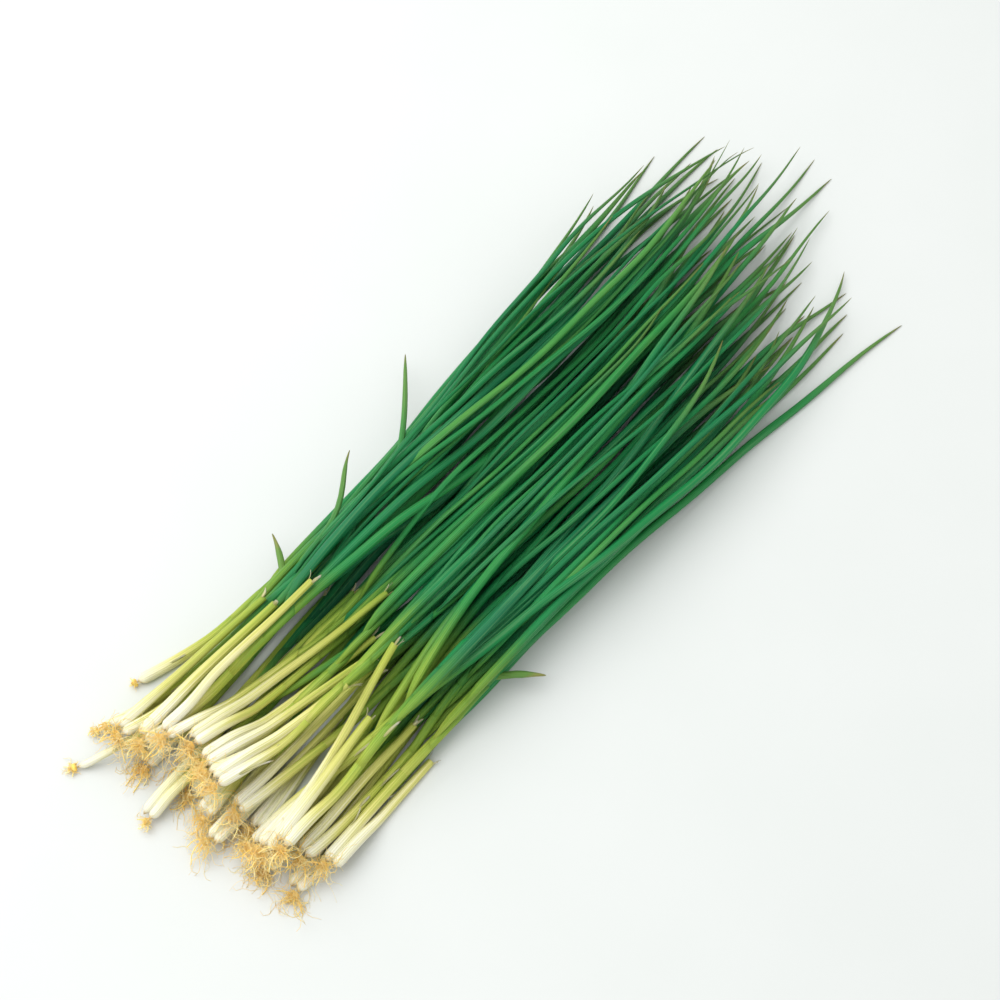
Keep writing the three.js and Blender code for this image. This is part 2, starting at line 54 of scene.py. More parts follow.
# ---- The camera ----
# A long lens that looks steeply down on the bunch from the side of the roots, so that the bunch lies from
# the lower left of the view to its upper right.
CAMERA_TARGET = Vector((-0.01121, -0.0015, 0.010))  # metres
CAMERA_DISTANCE = 0.9444
CAMERA_AZIMUTH = -49.0  # degrees
CAMERA_ELEVATION = 65.0
LENS, SENSOR = 85.0, 36.0  # mm
NEAREST, FURTHEST = 0.01, 50.0  # metres


def add_object(name, data):
    thing = bpy.data.objects.new(name, data)
    bpy.context.collection.objects.link(thing)
    return thing


azimuth, elevation = math.radians(CAMERA_AZIMUTH), math.radians(CAMERA_ELEVATION)
level = math.cos(elevation)
towards_camera = Vector((math.sin(azimuth) * level, -math.cos(azimuth) * level, math.sin(elevation)))
camera = add_object("camera", bpy.data.cameras.new("camera"))
camera.location = CAMERA_TARGET + towards_camera * CAMERA_DISTANCE
camera.rotation_euler = (-towards_camera).to_track_quat("-Z", "Y").to_euler()
camera.data.lens = LENS
camera.data.sensor_width = SENSOR
camera.data.clip_start = NEAREST
camera.data.clip_end = FURTHEST
bpy.context.scene.camera = camera

# ---- How the bunch lies ----
# Thirty chive plants in the order they are laid, by the same rule as the solids: each line of a plant runs
# along its plan and comes to rest on the table and on the plants below it. Lengths here are millimetres.
BULB_RADIUS, BULB_LENGTH = 2.5, 13
FOOT_RADIUS, FOOT_LENGTH = 1.5, 3.5
SHEATH_RADIUS, SHEATH_FROM = 1.95, 30
BULB_RINGS = [  # distance from the foot and radius
    (0, 0), (0, FOOT_RADIUS), (FOOT_LENGTH, BULB_RADIUS), (BULB_LENGTH, 0.95 * BULB_RADIUS),
    (SHEATH_FROM, 1.04 * SHEATH_RADIUS)]
WIDEST_RING = 2
TWIN_GAP, CUT_WIDTH = 3.5, 0.85  # between two bulbs, and a cut end's share of the sheath
PLANT_WIDTH = (0.84, 1.04)
LEAF_RADIUS, STRAY_WIDTH = (1.6, 2.1), 0.72
TIP_RADIUS, TIP_LENGTH = 0.42, 9
TAPER_FROM, TAPER, TAPER_POWER = 0.6, 0.82, 3.2  # share of the length, share lost, and power
FIRST_PARTING, NEXT_PARTING = 58, 15  # from the foot to the lowest leaf, and on to the next
PARTING_RADIUS, PARTING_LENGTH, PARTING_WIDTH = 1.25, 16, 0.75
RING_STEP = 46
STRAY_RINGS, STRAY_TURN = 3, 0.8
SHOOT_PULL, LEAF_PULL, STRAY_PULL = 0.34, 0.3, 0.4  # share of the length spent turning at an end
PLATE_RADIUS, PLATE_LENGTH, PLATE_GAP, PLATE_END = 1.7, 1.5, 0.35, 0.6
ROOT_RADIUS, ROOT_THINNING = 0.5, 0.3
ROOT_LENGTH = (4, 10)
ROOT_FAN, ROOT_CURL, ROOT_AWRY = 74, 110, 6  # degrees
ROOT_START = 0.6
ROOTS_PER_PLANT, ROOT_RINGS = 4, 3
ROOT_REACH = 30  # from a foot, within which its fine roots lie
SHOOT_SIDES, PLATE_SIDES, ROOT_SIDES = 5, 4, 3
STEM_BEND, LEAF_BEND, ROOT_BEND = 0.012, 0.003, 0.045  # sag beside a support, for the distance squared
STEM_TO, LEAF_FROM = 30, 100
AIR, SIDE_LIFT = 0.22, 0.06
OWN_FROM = 45  # from its start to where a leaf lies on its own plant
SHIFTS = [0, -3, 3, -6, 6, -9, 9, -12, 12, -15, 15, -18, 18]
SHIFT_COST, NECK_SHIFT, PARTING_SHIFT = 0.05, 0.5, 0.6
WAIST_X, WAIST_LEFT, WAIST_RIGHT = -45, 41.5, -48
MOST_LEFT, MOST_RIGHT = 59, -61
WIDENING_LEFT, WIDENING_RIGHT = 0.17, 0.1
SLOPE_LEFT, SLOPE_RIGHT = 0.3, 0.1
EDGE_FROM_X, FREE_END, EDGE_COST = -125, 70, 2
CELL = 0.25  # of the height map
MAP_FROM, MAP_TO = np.array([-230, -110]), np.array([240, 110])
ACROSS = 12  # cells from a tube's axis to its side
CURVE_PLACES = np.linspace(0, 1, 201)
RAISINGS, STRAIGHTENINGS = 200, 4
NEAR = 0.001  # close enough to what holds a tube up
NOTHING = 1e-6

UNDER_PLANTS = 10
UNDER_FOOT_X, UNDER_NECK_X, UNDER_Y = -166, -90, (-44, 37)
UNDER_CUT_X, UNDER_CUT_STEP, UNDER_CUT_ASIDE = -88, 14, 8
UNDER_TIP_X, UNDER_TIP_Y, UNDER_TIPS_APART = (126, 166), (-50, 50), 8
SPREAD = SimpleNamespace(foot_x=7, foot_y=3, neck_y=4, tip_x=32, tip_y=3, heading=6)

# foot: where the bulb starts. neck: the point the sheath heads for. tips: where the leaves end, and the way
# each tip points in degrees from +X. stray: a leaf that leaves the bunch. cut: the end of a second shoot.
UPPER = [
    dict(foot=(-149, 58), neck=(-106, 48), tips=[(133, 63, 13), (128, 53, -8)],
         stray=((-10, 44), (25, 74, 42)), roots=0.25),
    dict(foot=(-173, 55), neck=(-113, 30), tips=[(157, 55, -4), (172, 36, 5)],
         stray=((-84, 39), (-71, 58, 64)), roots=0.4),
    dict(foot=(-170, 52), neck=(-114, 34), tips=[(150, 46, 0), (188, 29, -17), (168, 37, 6)],
         stray=((-52, 40), (-27, 56, 28)), roots=0.4),
    dict(foot=(-189, 51), neck=(-134, 24), tips=[(96, 48, 0), (62, 30, 3)], thin=0.72, roots=0.4),
    dict(foot=(-186, 15), neck=(-113, 2), tips=[(190, 1, 2), (128, -19, -5), (186, 27, 7)], cut=(-68, 17),
         roots=0.5),
    dict(foot=(-177, -8), neck=(-102, -10), tips=[(166, 12, 7), (140, -5, -4), (172, -16, -3)],
         cut=(-87, -14)),
    dict(foot=(-162, -31), neck=(-104, -35), tips=[(98, -48, -2), (140, -40, 4)]),
    dict(foot=(-170, 44), neck=(-103, 33), tips=[(187, 40, 15), (176, 33, 2), (160, 45, 8)], cut=(-96, 37)),
    dict(foot=(-159, -41), neck=(-100, -42), tips=[(172, -44, -20), (164, -51, 4), (120, -36, 6)],
         cut=(-93, -37)),
    dict(foot=(-155, -48), neck=(-95, -46), tips=[(175, -71, -7), (156, -39, 8), (118, -55, -6)],
         stray=((-59, -46.5), (-44, -62, -52)), cut=(-98, -50)),
    dict(foot=(-167, 34), neck=(-111, 26), tips=[(196, 27, -6), (170, 20, 3), (182, 36, 12)], cut=(-96, 31)),
    dict(foot=(-163, -11), neck=(-91, -24), tips=[(160, -22, 10), (180, -10, 2), (126, -30, -4)],
         cut=(-90, -12)),
    dict(foot=(-161, 28), neck=(-94, 15), tips=[(200, 23, 6), (176, 8, -6), (152, 22, 10)], cut=(-81, 25)),
    dict(foot=(-168, -22), neck=(-105, -29), tips=[(136, -36, 25), (152, -28, 2), (108, -20, 5)]),
    dict(foot=(-156, 18), neck=(-94, 5), tips=[(216, 7, 3), (186, 15, 8), (168, -4, -6)], cut=(-62, 4)),
    dict(foot=(-159, 9), neck=(-96, -6), tips=[(213, -5, -8), (190, -2, -3), (158, 4, 5)], cut=(-78, -4)),
    dict(foot=(-161, 5), neck=(-105, -13), tips=[(199, -14, 1), (174, -24, -8)], cut=(-79, -11)),
    dict(foot=(-163, -2), neck=(-119, -9), tips=[(180, -9, -6), (146, 2, 3)], cut=(-102, -12)),
    dict(foot=(-168, -28), neck=(-112, -18), tips=[(179, -37, 30), (132, -12, -5), (150, -2, 6)],
         cut=(-78, -15)),
    dict(foot=(-163, -36), neck=(-111, -28), tips=[(156, -14, 8), (118, -44, -14)], cut=(-104, -25)),
]

drawn = 20


def draw():
    """The next of a fixed row of numbers from 0 to 1."""
    global drawn
    drawn = (drawn * 1664525 + 1013904223) % 2**32
    return drawn / 2**32


def about(spread):
    return spread * (2 * draw() - 1)


def lerp(a, b, share):
    return (1 - share) * a + share * b


def unit(vectors):
    return vectors / np.linalg.norm(vectors, axis=-1, keepdims=True)


def lengths_to(points):
    """How far it is to each point along the chords between them."""
    return np.r_[0, np.cumsum(np.linalg.norm(np.diff(points, axis=0), axis=1))]


def heading(degrees):
    return np.array([math.cos(math.radians(degrees)), math.sin(math.radians(degrees))])


def on_curve(curve, t):
    """Cubic Bezier points: the four control points weighed by (1-t)^3, 3t(1-t)^2, 3t^2(1-t) and t^3."""
    t = np.asarray(t, float)[..., None]
    a, b, c, d = curve
    return (1 - t) ** 3 * a + 3 * (1 - t) ** 2 * t * b + 3 * (1 - t) * t**2 * c + t**3 * d


def measured(route):
    """Each curve of a route with its length so far at CURVE_PLACES."""
    sums = [lengths_to(on_curve(curve, CURVE_PLACES)) for curve in route]
    return SimpleNamespace(curves=route, sums=sums, ends=np.cumsum([s[-1] for s in sums]))


def on_route(route, distance):
    """The plan point at a distance along a route: the curve it falls on, at the place of that length."""
    distance = np.clip(np.asarray(distance, float), 0, route.ends[-1])
    piece = np.minimum(np.searchsorted(route.ends, distance), len(route.curves) - 1)
    points = np.empty(distance.shape + (2,))
    for i, (curve, sums) in enumerate(zip(route.curves, route.sums)):
        here = piece == i
        rest = distance[here] - (route.ends[i - 1] if i else 0)
        points[here] = on_curve(curve, np.interp(rest, sums, CURVE_PLACES))
    return points


def heading_on(route, distance):
    return unit(on_route(route, distance + 1) - on_route(route, distance))


def curve_between(start, start_heading, end, end_heading, pull, shift=0.0):
    """A curve that leaves the start along a heading and comes to the end along another."""
    reach = pull * np.linalg.norm(end - start)
    after = start + start_heading * reach + [0, PARTING_SHIFT * shift]
    before = end - end_heading * reach + [0, shift]
    return np.array([start, after, before, end])


def even_steps(first, last):
    count = max(1, math.floor((last - first) / RING_STEP + 0.5))
    return [lerp(first, last, (i + 1) / count) for i in range(count)]


def line_of(route, rings, width, at, own_from, kind):
    """A tube's knots in plan and its radii there, with how it lies."""
    distances, radii = np.array(rings, float).T
    bend = LEAF_BEND
    if kind != "leaf":
        bend = np.interp(distances, (STEM_TO, LEAF_FROM), (STEM_BEND, LEAF_BEND))
    return SimpleNamespace(
        route=route, distances=distances, knots=on_route(route, distances), radii=width * radii,
        flat=math.cos(math.pi / SHOOT_SIDES), lift=SIDE_LIFT if own_from else 0.0, bend=bend,
        at=at, own_from=own_from, clear_from=-1, kind=kind, width=width)


rows = round((MAP_TO - MAP_FROM)[1] / CELL)
height_map = np.zeros(round((MAP_TO - MAP_FROM)[0] / CELL) * rows)
own_map = np.zeros_like(height_map)
ACROSS_SHARES = np.arange(-ACROSS, ACROSS + 1) / ACROSS
RISES = np.sqrt(1 - ACROSS_SHARES**2)


def along_tube(line, step):
    """Samples along a tube: the knot before, the share to the next, radius, distance and the cells across."""
    chords = np.diff(line.knots, axis=0)
    lengths = np.linalg.norm(chords, axis=1)
    steps = np.where(lengths < NOTHING, 0, np.ceil(lengths / step)).astype(int)
    counts = np.where(steps > 0, steps + 1, 0)
    k = np.repeat(np.arange(len(lengths)), counts)
    t = (np.arange(counts.sum()) - (np.cumsum(counts) - counts)[k]) / steps[k]
    radius = lerp(line.radii[k], line.radii[k + 1], t)
    distance = (np.cumsum(lengths) - lengths)[k] + lengths[k] * t
    side = (chords[k] / lengths[k, None])[:, ::-1] * [1, -1]
    places = (line.knots[k] + chords[k] * t[:, None])[:, None] + side[:, None] * (
        radius[:, None] * ACROSS_SHARES)[..., None]
    cells = np.floor((places - MAP_FROM) / CELL).astype(int)
    return k, t, radius, distance, cells[..., 0] * rows + cells[..., 1]


def resting_heights(line, least=0):
    """The least knot heights that clear what lies below, with every support sagging by bend times distance
    squared, then chords raised at their worst place, then knots raised to what their neighbours hold."""
    k, t, radius, distance, cells = along_tube(line, 1)
    top = height_map[cells]
    top = np.where((distance > line.own_from)[:, None], np.maximum(top, own_map[cells]), top)
    top = np.where((distance > line.clear_from)[:, None], top, 0)
    support = np.where(top > 0, top + radius[:, None] * RISES + AIR, 0).max(axis=1)
    support = np.maximum(support, line.flat * radius + line.lift)
    along = lengths_to(line.knots)
    lowest = np.maximum(line.flat * line.radii + line.lift, least)
    prop_at, prop = np.r_[distance, along], np.r_[support, lowest]
    bend = line.bend + 0 * along
    heights = np.maximum(0, (prop - bend[:, None] * (along[:, None] - prop_at) ** 2).max(axis=1))
    for _ in range(RAISINGS):
        missing = support - lerp(heights[k], heights[k + 1], t)
        worst = missing.argmax()
        if missing[worst] <= NEAR:
            break
        share = (1 - t[worst]) ** 2 + t[worst] ** 2
        heights[k[worst]] += missing[worst] * (1 - t[worst]) / share
        heights[k[worst] + 1] += missing[worst] * t[worst] / share
    for _ in range(STRAIGHTENINGS):
        for i in range(1, len(heights) - 1):
            before, after = along[i] - along[i - 1], along[i + 1] - along[i]
            if before + after < NOTHING:
                continue
            straight = (heights[i - 1] * after + heights[i + 1] * before) / (before + after)
            heights[i] = max(heights[i], straight - bend[i] * before * after)
    return heights


def most_outside(line, heights):
    x, y = line.knots.T
    inside = (x > EDGE_FROM_X) & (np.linalg.norm(line.knots - line.knots[-1], axis=1) > FREE_END)
    from_waist = abs(x - WAIST_X)
    left = np.minimum(MOST_LEFT, WAIST_LEFT + WIDENING_LEFT * from_waist) - SLOPE_LEFT * heights
    right = np.maximum(MOST_RIGHT, WAIST_RIGHT - WIDENING_RIGHT * from_waist) + SLOPE_RIGHT * heights
    return np.r_[0, np.maximum(y - left, right - y)[inside]].max()


def lowest_of(make):
    """Of the lines that make(shift) gives, one that rests low, little aside and not outside."""
    best, best_cost = None, math.inf
    for shift in SHIFTS:
        line = make(shift)
        heights = resting_heights(line)
        cost = heights.mean() + SHIFT_COST * abs(shift) + EDGE_COST * most_outside(line, heights)
        if cost < best_cost - NOTHING:
            best, best_cost = line, cost
    return best


def add_to_own(line):
    k, t, radius, _, cells = along_tube(line, CELL)
    height = lerp(line.heights[k], line.heights[k + 1], t)
    np.maximum.at(own_map, cells, height[:, None] + radius[:, None] * RISES)


def rest_from(line, start, widest=0):
    """Rests a line that starts at a height, with its widest ring no lower than another."""
    least = np.zeros(len(line.knots))
    least[:2] = start
    least[WIDEST_RING] = widest
    line.heights = resting_heights(line, least)
    line.heights[:2] = start
    add_to_own(line)


def join_bunch():
    np.maximum(height_map, own_map, out=height_map)
    own_map.fill(0)


def parting_at(number):
    return FIRST_PARTING + NEXT_PARTING * number


def leaf_radius(full, share):
    """Full to TAPER_FROM of the length, then thinning with a power of the rest."""
    thinning = np.maximum(0, (share - TAPER_FROM) / (1 - TAPER_FROM))
    return np.maximum(TIP_RADIUS, full * (1 - TAPER * thinning**TAPER_POWER))


def shoot_line(foot, neck, tip, full, width, partings, shift):
    end = np.array(tip[:2], float)
    before = end - heading(tip[2]) * SHOOT_PULL * np.linalg.norm(end - foot)
    route = measured([np.array([foot, neck + [0, NECK_SHIFT * shift], before + [0, shift], end])])
    length = route.ends[-1]
    last = parting_at(partings - 1)
    distances = [parting_at(i) for i in range(partings)] + even_steps(last, length - TIP_LENGTH)
    rings = [(d, lerp(SHEATH_RADIUS, leaf_radius(full, d / length), min(1, d / last))) for d in distances]
    return line_of(route, [*BULB_RINGS, *rings, (length, 0)], width, 0, 0, "shoot")


def side_leaf(shoot, number, leaves, tip, full, width, shift):
    start = on_route(shoot.route, parting_at(number))
    end = np.array(tip[:2], float)
    target = end if leaves is None else np.array(leaves, float)
    leaving = unit(2 * unit(target - start) - heading_on(shoot.route, parting_at(number)))
    along = heading(tip[2] if leaves is None else STRAY_TURN * tip[2])
    curves = [curve_between(start, leaving, target, along, LEAF_PULL, shift if leaves is None else 0)]
    in_bunch = measured(curves).ends[-1]
    if leaves is not None:
        curves.append(curve_between(target, along, end, heading(tip[2]), STRAY_PULL))
    route = measured(curves)
    length = route.ends[-1]
    if leaves is None:
        distances = even_steps(PARTING_LENGTH, length - TIP_LENGTH)
    else:
        distances = even_steps(PARTING_LENGTH, in_bunch)
        distances += [lerp(in_bunch, length, (i + 1) / (STRAY_RINGS + 1)) for i in range(STRAY_RINGS)]
    rings = [(0, 0), (0, PARTING_RADIUS), (PARTING_LENGTH, lerp(PARTING_RADIUS, full, PARTING_WIDTH))]
    rings += [(d, leaf_radius(full, d / length)) for d in distances]
    line = line_of(route, [*rings, (length, 0)], width, len(BULB_RINGS) + number, OWN_FROM, "leaf")
    line.parts_at = parting_at(number)
    return line


def cut_shoot(foot, end, width):
    route = measured([np.array([foot, lerp(foot, end, 1 / 3), lerp(foot, end, 2 / 3), end])])
    length = route.ends[-1]
    rings = [*BULB_RINGS, (length, CUT_WIDTH * SHEATH_RADIUS), (length, 0)]
    return line_of(route, rings, width, 1, 2 * OWN_FROM, "cut")


def free_line(knots, radii, sides, kind):
    return SimpleNamespace(
        knots=np.array(knots), radii=np.array(radii), flat=math.cos(math.pi / sides), bend=ROOT_BEND,
        lift=SIDE_LIFT, at=1, own_from=math.inf, clear_from=-1, kind=kind)


def root_line(start, degrees, curl, length):
    knots = [start, start]
    for i in range(1, ROOT_RINGS + 1):
        knots.append(knots[-1] + heading(degrees + curl * (i - 0.5) / ROOT_RINGS) * length / ROOT_RINGS)
    knots.append(knots[-1])
    radii = [ROOT_RADIUS * (1 - ROOT_THINNING * i / len(knots)) for i in range(len(knots))]
    radii[0] = radii[-1] = 0
    return free_line(knots, radii, ROOT_SIDES, "root")


def ground_under(point):
    """A square of the height map round a point, for the fine roots that come to lie there."""
    low = np.floor((point - ROOT_REACH - MAP_FROM) / CELL).astype(int)
    high = low + round(2 * ROOT_REACH / CELL)
    return low, height_map.reshape(-1, rows)[low[0]:high[0], low[1]:high[1]].copy()


def lay_plant(foot, neck, tips, stray=None, cut=None, thin=1, roots=1):
    """A plant's lines, each with the heights at which it rests."""
    foot, neck = np.array(foot, float), np.array(neck, float)
    side_tips = [(None, tip) for tip in tips[1:]] + ([stray] if stray else [])
    width = thin * lerp(*PLANT_WIDTH, draw())
    full = [lerp(*LEAF_RADIUS, draw()) for _ in range(1 + len(side_tips))]
    if stray:
        full[-1] *= STRAY_WIDTH
    shoot = lowest_of(lambda shift: shoot_line(foot, neck, tips[0], full[0], width, len(side_tips), shift))
    joined = [
        lowest_of(lambda shift: side_leaf(shoot, i, *side_tip, full[i + 1], width, shift))
        for i, side_tip in enumerate(side_tips)
    ]
    ahead = heading_on(shoot.route, 0.0)
    if cut:
        end = np.array(cut, float)
        left = np.array([-ahead[1], ahead[0]])
        twin_foot = foot + left * np.sign(left @ (end - foot)) * TWIN_GAP * width
        joined.append(cut_shoot(twin_foot, end, width))
    plate_start = foot - ahead * PLATE_GAP
    plate_end = plate_start - ahead * PLATE_LENGTH
    back = math.degrees(math.atan2(-ahead[1], -ahead[0]))
    root_lines = []
    for i in range(ROOTS_PER_PLANT):
        fan = lerp(-ROOT_FAN, ROOT_FAN, i / (ROOTS_PER_PLANT - 1))
        length = roots * lerp(*ROOT_LENGTH, draw())
        curl = -(np.sign(fan) or 1) * ROOT_CURL * draw()
        start = lerp(plate_start, plate_end, 0.5) + heading(back + fan) * ROOT_START
        root_lines.append(root_line(start, back + fan + about(ROOT_AWRY), curl, length))
    plate_knots = [plate_start, plate_start, plate_end, plate_end]
    plate_radii = [0, PLATE_RADIUS, PLATE_END * PLATE_RADIUS, 0]
    plate = free_line(plate_knots, plate_radii, PLATE_SIDES, "plate")
    joined += [plate, *root_lines]

    least = np.zeros(len(shoot.knots))
    for line in joined:
        alone = resting_heights(line)
        least[line.at] = max(least[line.at], alone[0])
        if line.kind == "cut":
            least[WIDEST_RING] = max(least[WIDEST_RING], alone[WIDEST_RING])
    shoot.heights = resting_heights(shoot, least)
    add_to_own(shoot)
    for line in joined:
        rest_from(line, shoot.heights[line.at], shoot.heights[WIDEST_RING] if line.kind == "cut" else 0)
    join_bunch()
    shoot.ground = ground_under(foot)
    shoot.roots = roots
    return [shoot, *joined]


def under_plant(number):
    across = lerp(*UNDER_Y, number / (UNDER_PLANTS - 1))
    tip_across = lerp(*UNDER_TIP_Y, number / (UNDER_PLANTS - 1))
    tip_x = lerp(*UNDER_TIP_X, number / (UNDER_PLANTS - 1))

    def tip(offset):
        x, y = tip_x + about(SPREAD.tip_x), tip_across + offset + about(SPREAD.tip_y)
        return x, y, about(SPREAD.heading)

    return dict(
        foot=(UNDER_FOOT_X + about(SPREAD.foot_x), across + about(SPREAD.foot_y)),
        neck=(UNDER_NECK_X, across + about(SPREAD.neck_y)),
        tips=[tip(0), tip(-UNDER_TIPS_APART), tip(UNDER_TIPS_APART)],
        cut=(UNDER_CUT_X + UNDER_CUT_STEP * (number % 3), across + UNDER_CUT_ASIDE))


plants = [lay_plant(**plan) for plan in [*(under_plant(i) for i in range(UNDER_PLANTS)), *UPPER]]

# Slender leaves part last and lie over the others: where each ends and the way its tip points. Each grows
# from a plant near its course that little lies on, and comes up between what does.
SLENDER_RADIUS = (1.1, 1.55)
SLENDER_OWN_FROM = 62  # mm from its start, where it has come up
SLENDER_MOST = 3  # on a plant
COVER_COST = 1.5  # in mm aside, per mm that lies on a plant
NECK_SHARE = 0.75  # how far out a course passes the necks, for its tip
SLENDER_TIPS = [
    (201, 25, 7), (189, 17, 3), (192, 38, 0), (134, 64, 7), (167, 14, 5), (183, -9, 0), (162, -21, 3),
    (159, -37, -1), (101, -46, -2), (131, -17, 0), (167, 31, 12), (167, -49, 2), (213, 13, 3), (158, 56, 2),
    (150, 36, 8), (136, -33, 4), (180, -18, 2), (133, 4, 4), (110, -25, 5), (105, 3, 8), (129, 34, 6),
    (126, 47, 8), (115, -52, -8), (146, -6, 3), (195, 25, -18), (190, 35, 11), (187, 28, -10), (191, 28, 2),
    (176, 32, -4),
]


def next_parting(plant):
    """How many leaves have parted from a plant, and the shoot's height where the next one does."""
    number = sum(line.kind == "leaf" for line in plant)
    return number, np.interp(parting_at(number), plant[0].distances, plant[0].heights)


def cover_on(plant):
    """How much higher the bunch is than a plant where its next leaf parts."""
    number, height = next_parting(plant)
    cell = np.floor((on_route(plant[0].route, parting_at(number)) - MAP_FROM) / CELL).astype(int)
    return height_map[cell[0] * rows + cell[1]] - height - SHEATH_RADIUS


def slender_leaf(plant, number, tip, full, shift):
    line = side_leaf(plant[0], number, None, tip, full, plant[0].width, shift)
    line.clear_from = SLENDER_OWN_FROM
    return line


def add_slender(plant, tip):
    """A slender leaf that parts from a plant past all its others and comes to rest on what lies there."""
    number, start = next_parting(plant)
    full = lerp(*SLENDER_RADIUS, draw())
    line = lowest_of(lambda shift: slender_leaf(plant, number, tip, full, shift))
    rest_from(line, start)
    join_bunch()
    plant.append(line)


free_plants = SLENDER_MOST * list(range(len(UPPER)))
for tip in SLENDER_TIPS:
    aside = [
        abs(UPPER[i]["neck"][1] - NECK_SHARE * tip[1]) + COVER_COST * cover_on(plants[UNDER_PLANTS + i])
        for i in free_plants
    ]
    nearest = free_plants.pop(int(np.argmin(aside)))
    add_slender(plants[UNDER_PLANTS + nearest], tip)

# The solids' origin is the bottom centre of their box, whose +X and -Y sides the two outermost tips touch.
ends = np.array([line.knots[-1] for lines in plants for line in lines])
origin = np.array([ends[:, 0].max() - 1000 * cad_high.x, ends[:, 1].min() - 1000 * cad_low.y, 0])

# ---- Leaves and shoots ----
# A chive plant is a white bulb that runs up into a sheath of rolled leaf bases, from which hollow round
# leaves part one by one. A cut shoot ends in an open ring. Each plant is one mesh of closed tubes.
LEAF_SIDES = 16
FLATTENED = 0.86  # how far down a leaf reaches, for its radius
LEAST_HEIGHT = 1.04 * FLATTENED  # of an axis over the floor, for its radius
COURSE_STEP = 2
WAVER, WAVER_LENGTH, WAVER_FROM = 0.35, (50, 90), 90  # a slow sideways wave, full from there on
CREASE, CREASE_WIDTH = 0.2, 0.5  # how deep at most, for the radius, and how wide, in radians
CREASE_WINDING, CREASE_FROM, CREASE_FULL = (60, 120), 40, 100
BULGE, BULGE_LENGTH, BULGE_PHASE = 0.03, 17, 6
FOOT_PLACES, PARTING_PLACES = np.r_[0, 0.25, np.arange(1, 14)], [0, 1, 5]
FOOT_ROUNDING, FOOT_BLUNTNESS = 1.1, 0.12
BULB_FROM, BULB_STEP, CUT_STEP, BLADE_STEP = 15, 2.5, 3.0, 5
POINT_PLACES = np.array([9.5, 7.5, 5.5, 3.8, 2.3, 1.1, 0.4, 0])  # from the tip
POINT_FROM, POINT_POWER = 12, 0.55
SLIMMING, SLIM_FROM, SLIM_TO = 0.12, 30, 90
SLEEVE_PLACES = np.array([-16, -16, -10.56, -5.28, 0, 1, 1, 0, -2, -2])  # from the parting
SLEEVE_WALLS = 0.14 * np.array([0, 0, 0.6, 1, 1.1, 1, 0.5, 0, 0, 0])
SLEEVE_RIM, SLEEVE_PALER = 1.6, 8
SLEEVE_SIGHT = 20  # from a parting to where the leaf's side is told
CUT_RIM, CUT_WALL, CUT_DEPTH = 0.08, 0.3, 3
FAR = 99  # more than any radius, and further from a tip than its colours reach
SKIN_THICKNESS, SKIN_SIDES, SKIN_INSET = 0.09, 6, 0.12
SKIN_PLACES = np.array([0, 0, 0.12, 0.3, 0.5, 0.7, 0.86, 1, 1])
SKIN_WIDTHS = np.array([0, 0.3, 0.8, 0.95, 1, 0.75, 0.7, 0.2, 0])
CUT_SKINS = dict(length=(2.5, 7), width=(0.4, 0.9), turn=(-0.1, 1.1), bend=(0.2, 1.2))
STEM_SKINS = dict(length=(6, 16), width=(0.3, 0.75), turn=(0.15, 0.85), bend=(0.15, 0.7))
CUT_SKIN_COUNT, STEM_SKIN_COUNT, STEM_SKIN_AT = (2, 4), (0, 3), (5, 60)

# Ripeness runs from brown at the foot, at -UNRIPE, through white and yellow to leaf green, over RIPE in all.
# Tone runs from the bluest leaf green to the yellowest.
SKIN_RIPENESS, SKIN_DRYING = 26, 30
FOOT_TO, FOOT_RIPENESS = 2.2, 9
WHITE_TO = (0, 12)  # mm from the foot
RIPENING = (0.9, 1.7)  # how fast a plant then turns to green along its stem
GREENING_FROM, GREENING = 75, 0.012  # from there on it turns faster, by this times the distance squared
CUT_RIPENING = 0.5
LEAF_PALER = 14  # a leaf comes out as pale as its sheath is this far before
# The bottom plants' darker, bluer tone is painted shade, for where they lie under the rest of the bunch.
UNDER_RIPENING, UNDER_SHADE_TONE = 1.4, 0.85  # the plants at the bottom turn faster, and are darker
PLANT_TONE = 0.35  # the share of a leaf's tone that its plant gives
UNRIPE, RIPE = 10, 160
STEM_COLOURS = [
    (0, (200, 160, 92)), (0.05, (230, 212, 166)), (0.1, (243, 240, 224)), (0.17, (238, 233, 190)),
    (0.25, (218, 213, 126)), (0.36, (184, 193, 82)), (0.5, (140, 171, 60)), (0.66, (96, 149, 56)),
    (0.82, (54, 130, 56)), (1, (18, 112, 58))]
BLADE_COLOURS = [
    (0, (6, 104, 66)), (0.25, (8, 118, 68)), (0.55, (16, 130, 67)), (0.8, (40, 136, 62)), (1, (84, 152, 64))]
# The pale streak colour is partly the leaves' waxy bloom and partly painted highlight.
BLOOM_AND_HIGHLIGHT, OLD_LEAF, DRY_TIP, FURROW = (108, 168, 110), (112, 150, 68), (152, 152, 84), (158, 170, 122)
RIBS, RIB_DEPTH = 18, 0.00022  # round a leaf, and in metres

chance = np.random.default_rng(11)


def eased(at, values, places):
    """Cubics between knots, whose slope at a knot is the harmonic mean of the slopes beside it, or none where
    those differ in sign, so that the curve never swings past a knot."""
    at, first = np.unique(at, return_index=True)
    values = np.asarray(values, float)[first]
    steps = np.diff(at)
    slopes = np.diff(values) / steps
    both = slopes[:-1] * slopes[1:]
    level = both <= 0
    mean = np.where(level, 0, 2 * both / np.where(level, 1, slopes[:-1] + slopes[1:]))
    slope = np.r_[slopes[0], mean, slopes[-1]]
    k = np.clip(np.searchsorted(at, places, side="right") - 1, 0, len(steps) - 1)
    t = (places - at[k]) / steps[k]
    straight = lerp(values[k], values[k + 1], t)
    bent = (slope[k] - slopes[k]) * (1 - t) - (slope[k + 1] - slopes[k]) * t
    return straight + t * (1 - t) * bent * steps[k]


def path_through(points, along):
    """Points, each with the length so far and the way ahead."""
    return SimpleNamespace(along=along, points=points, ahead=unit(np.gradient(points, axis=0)))


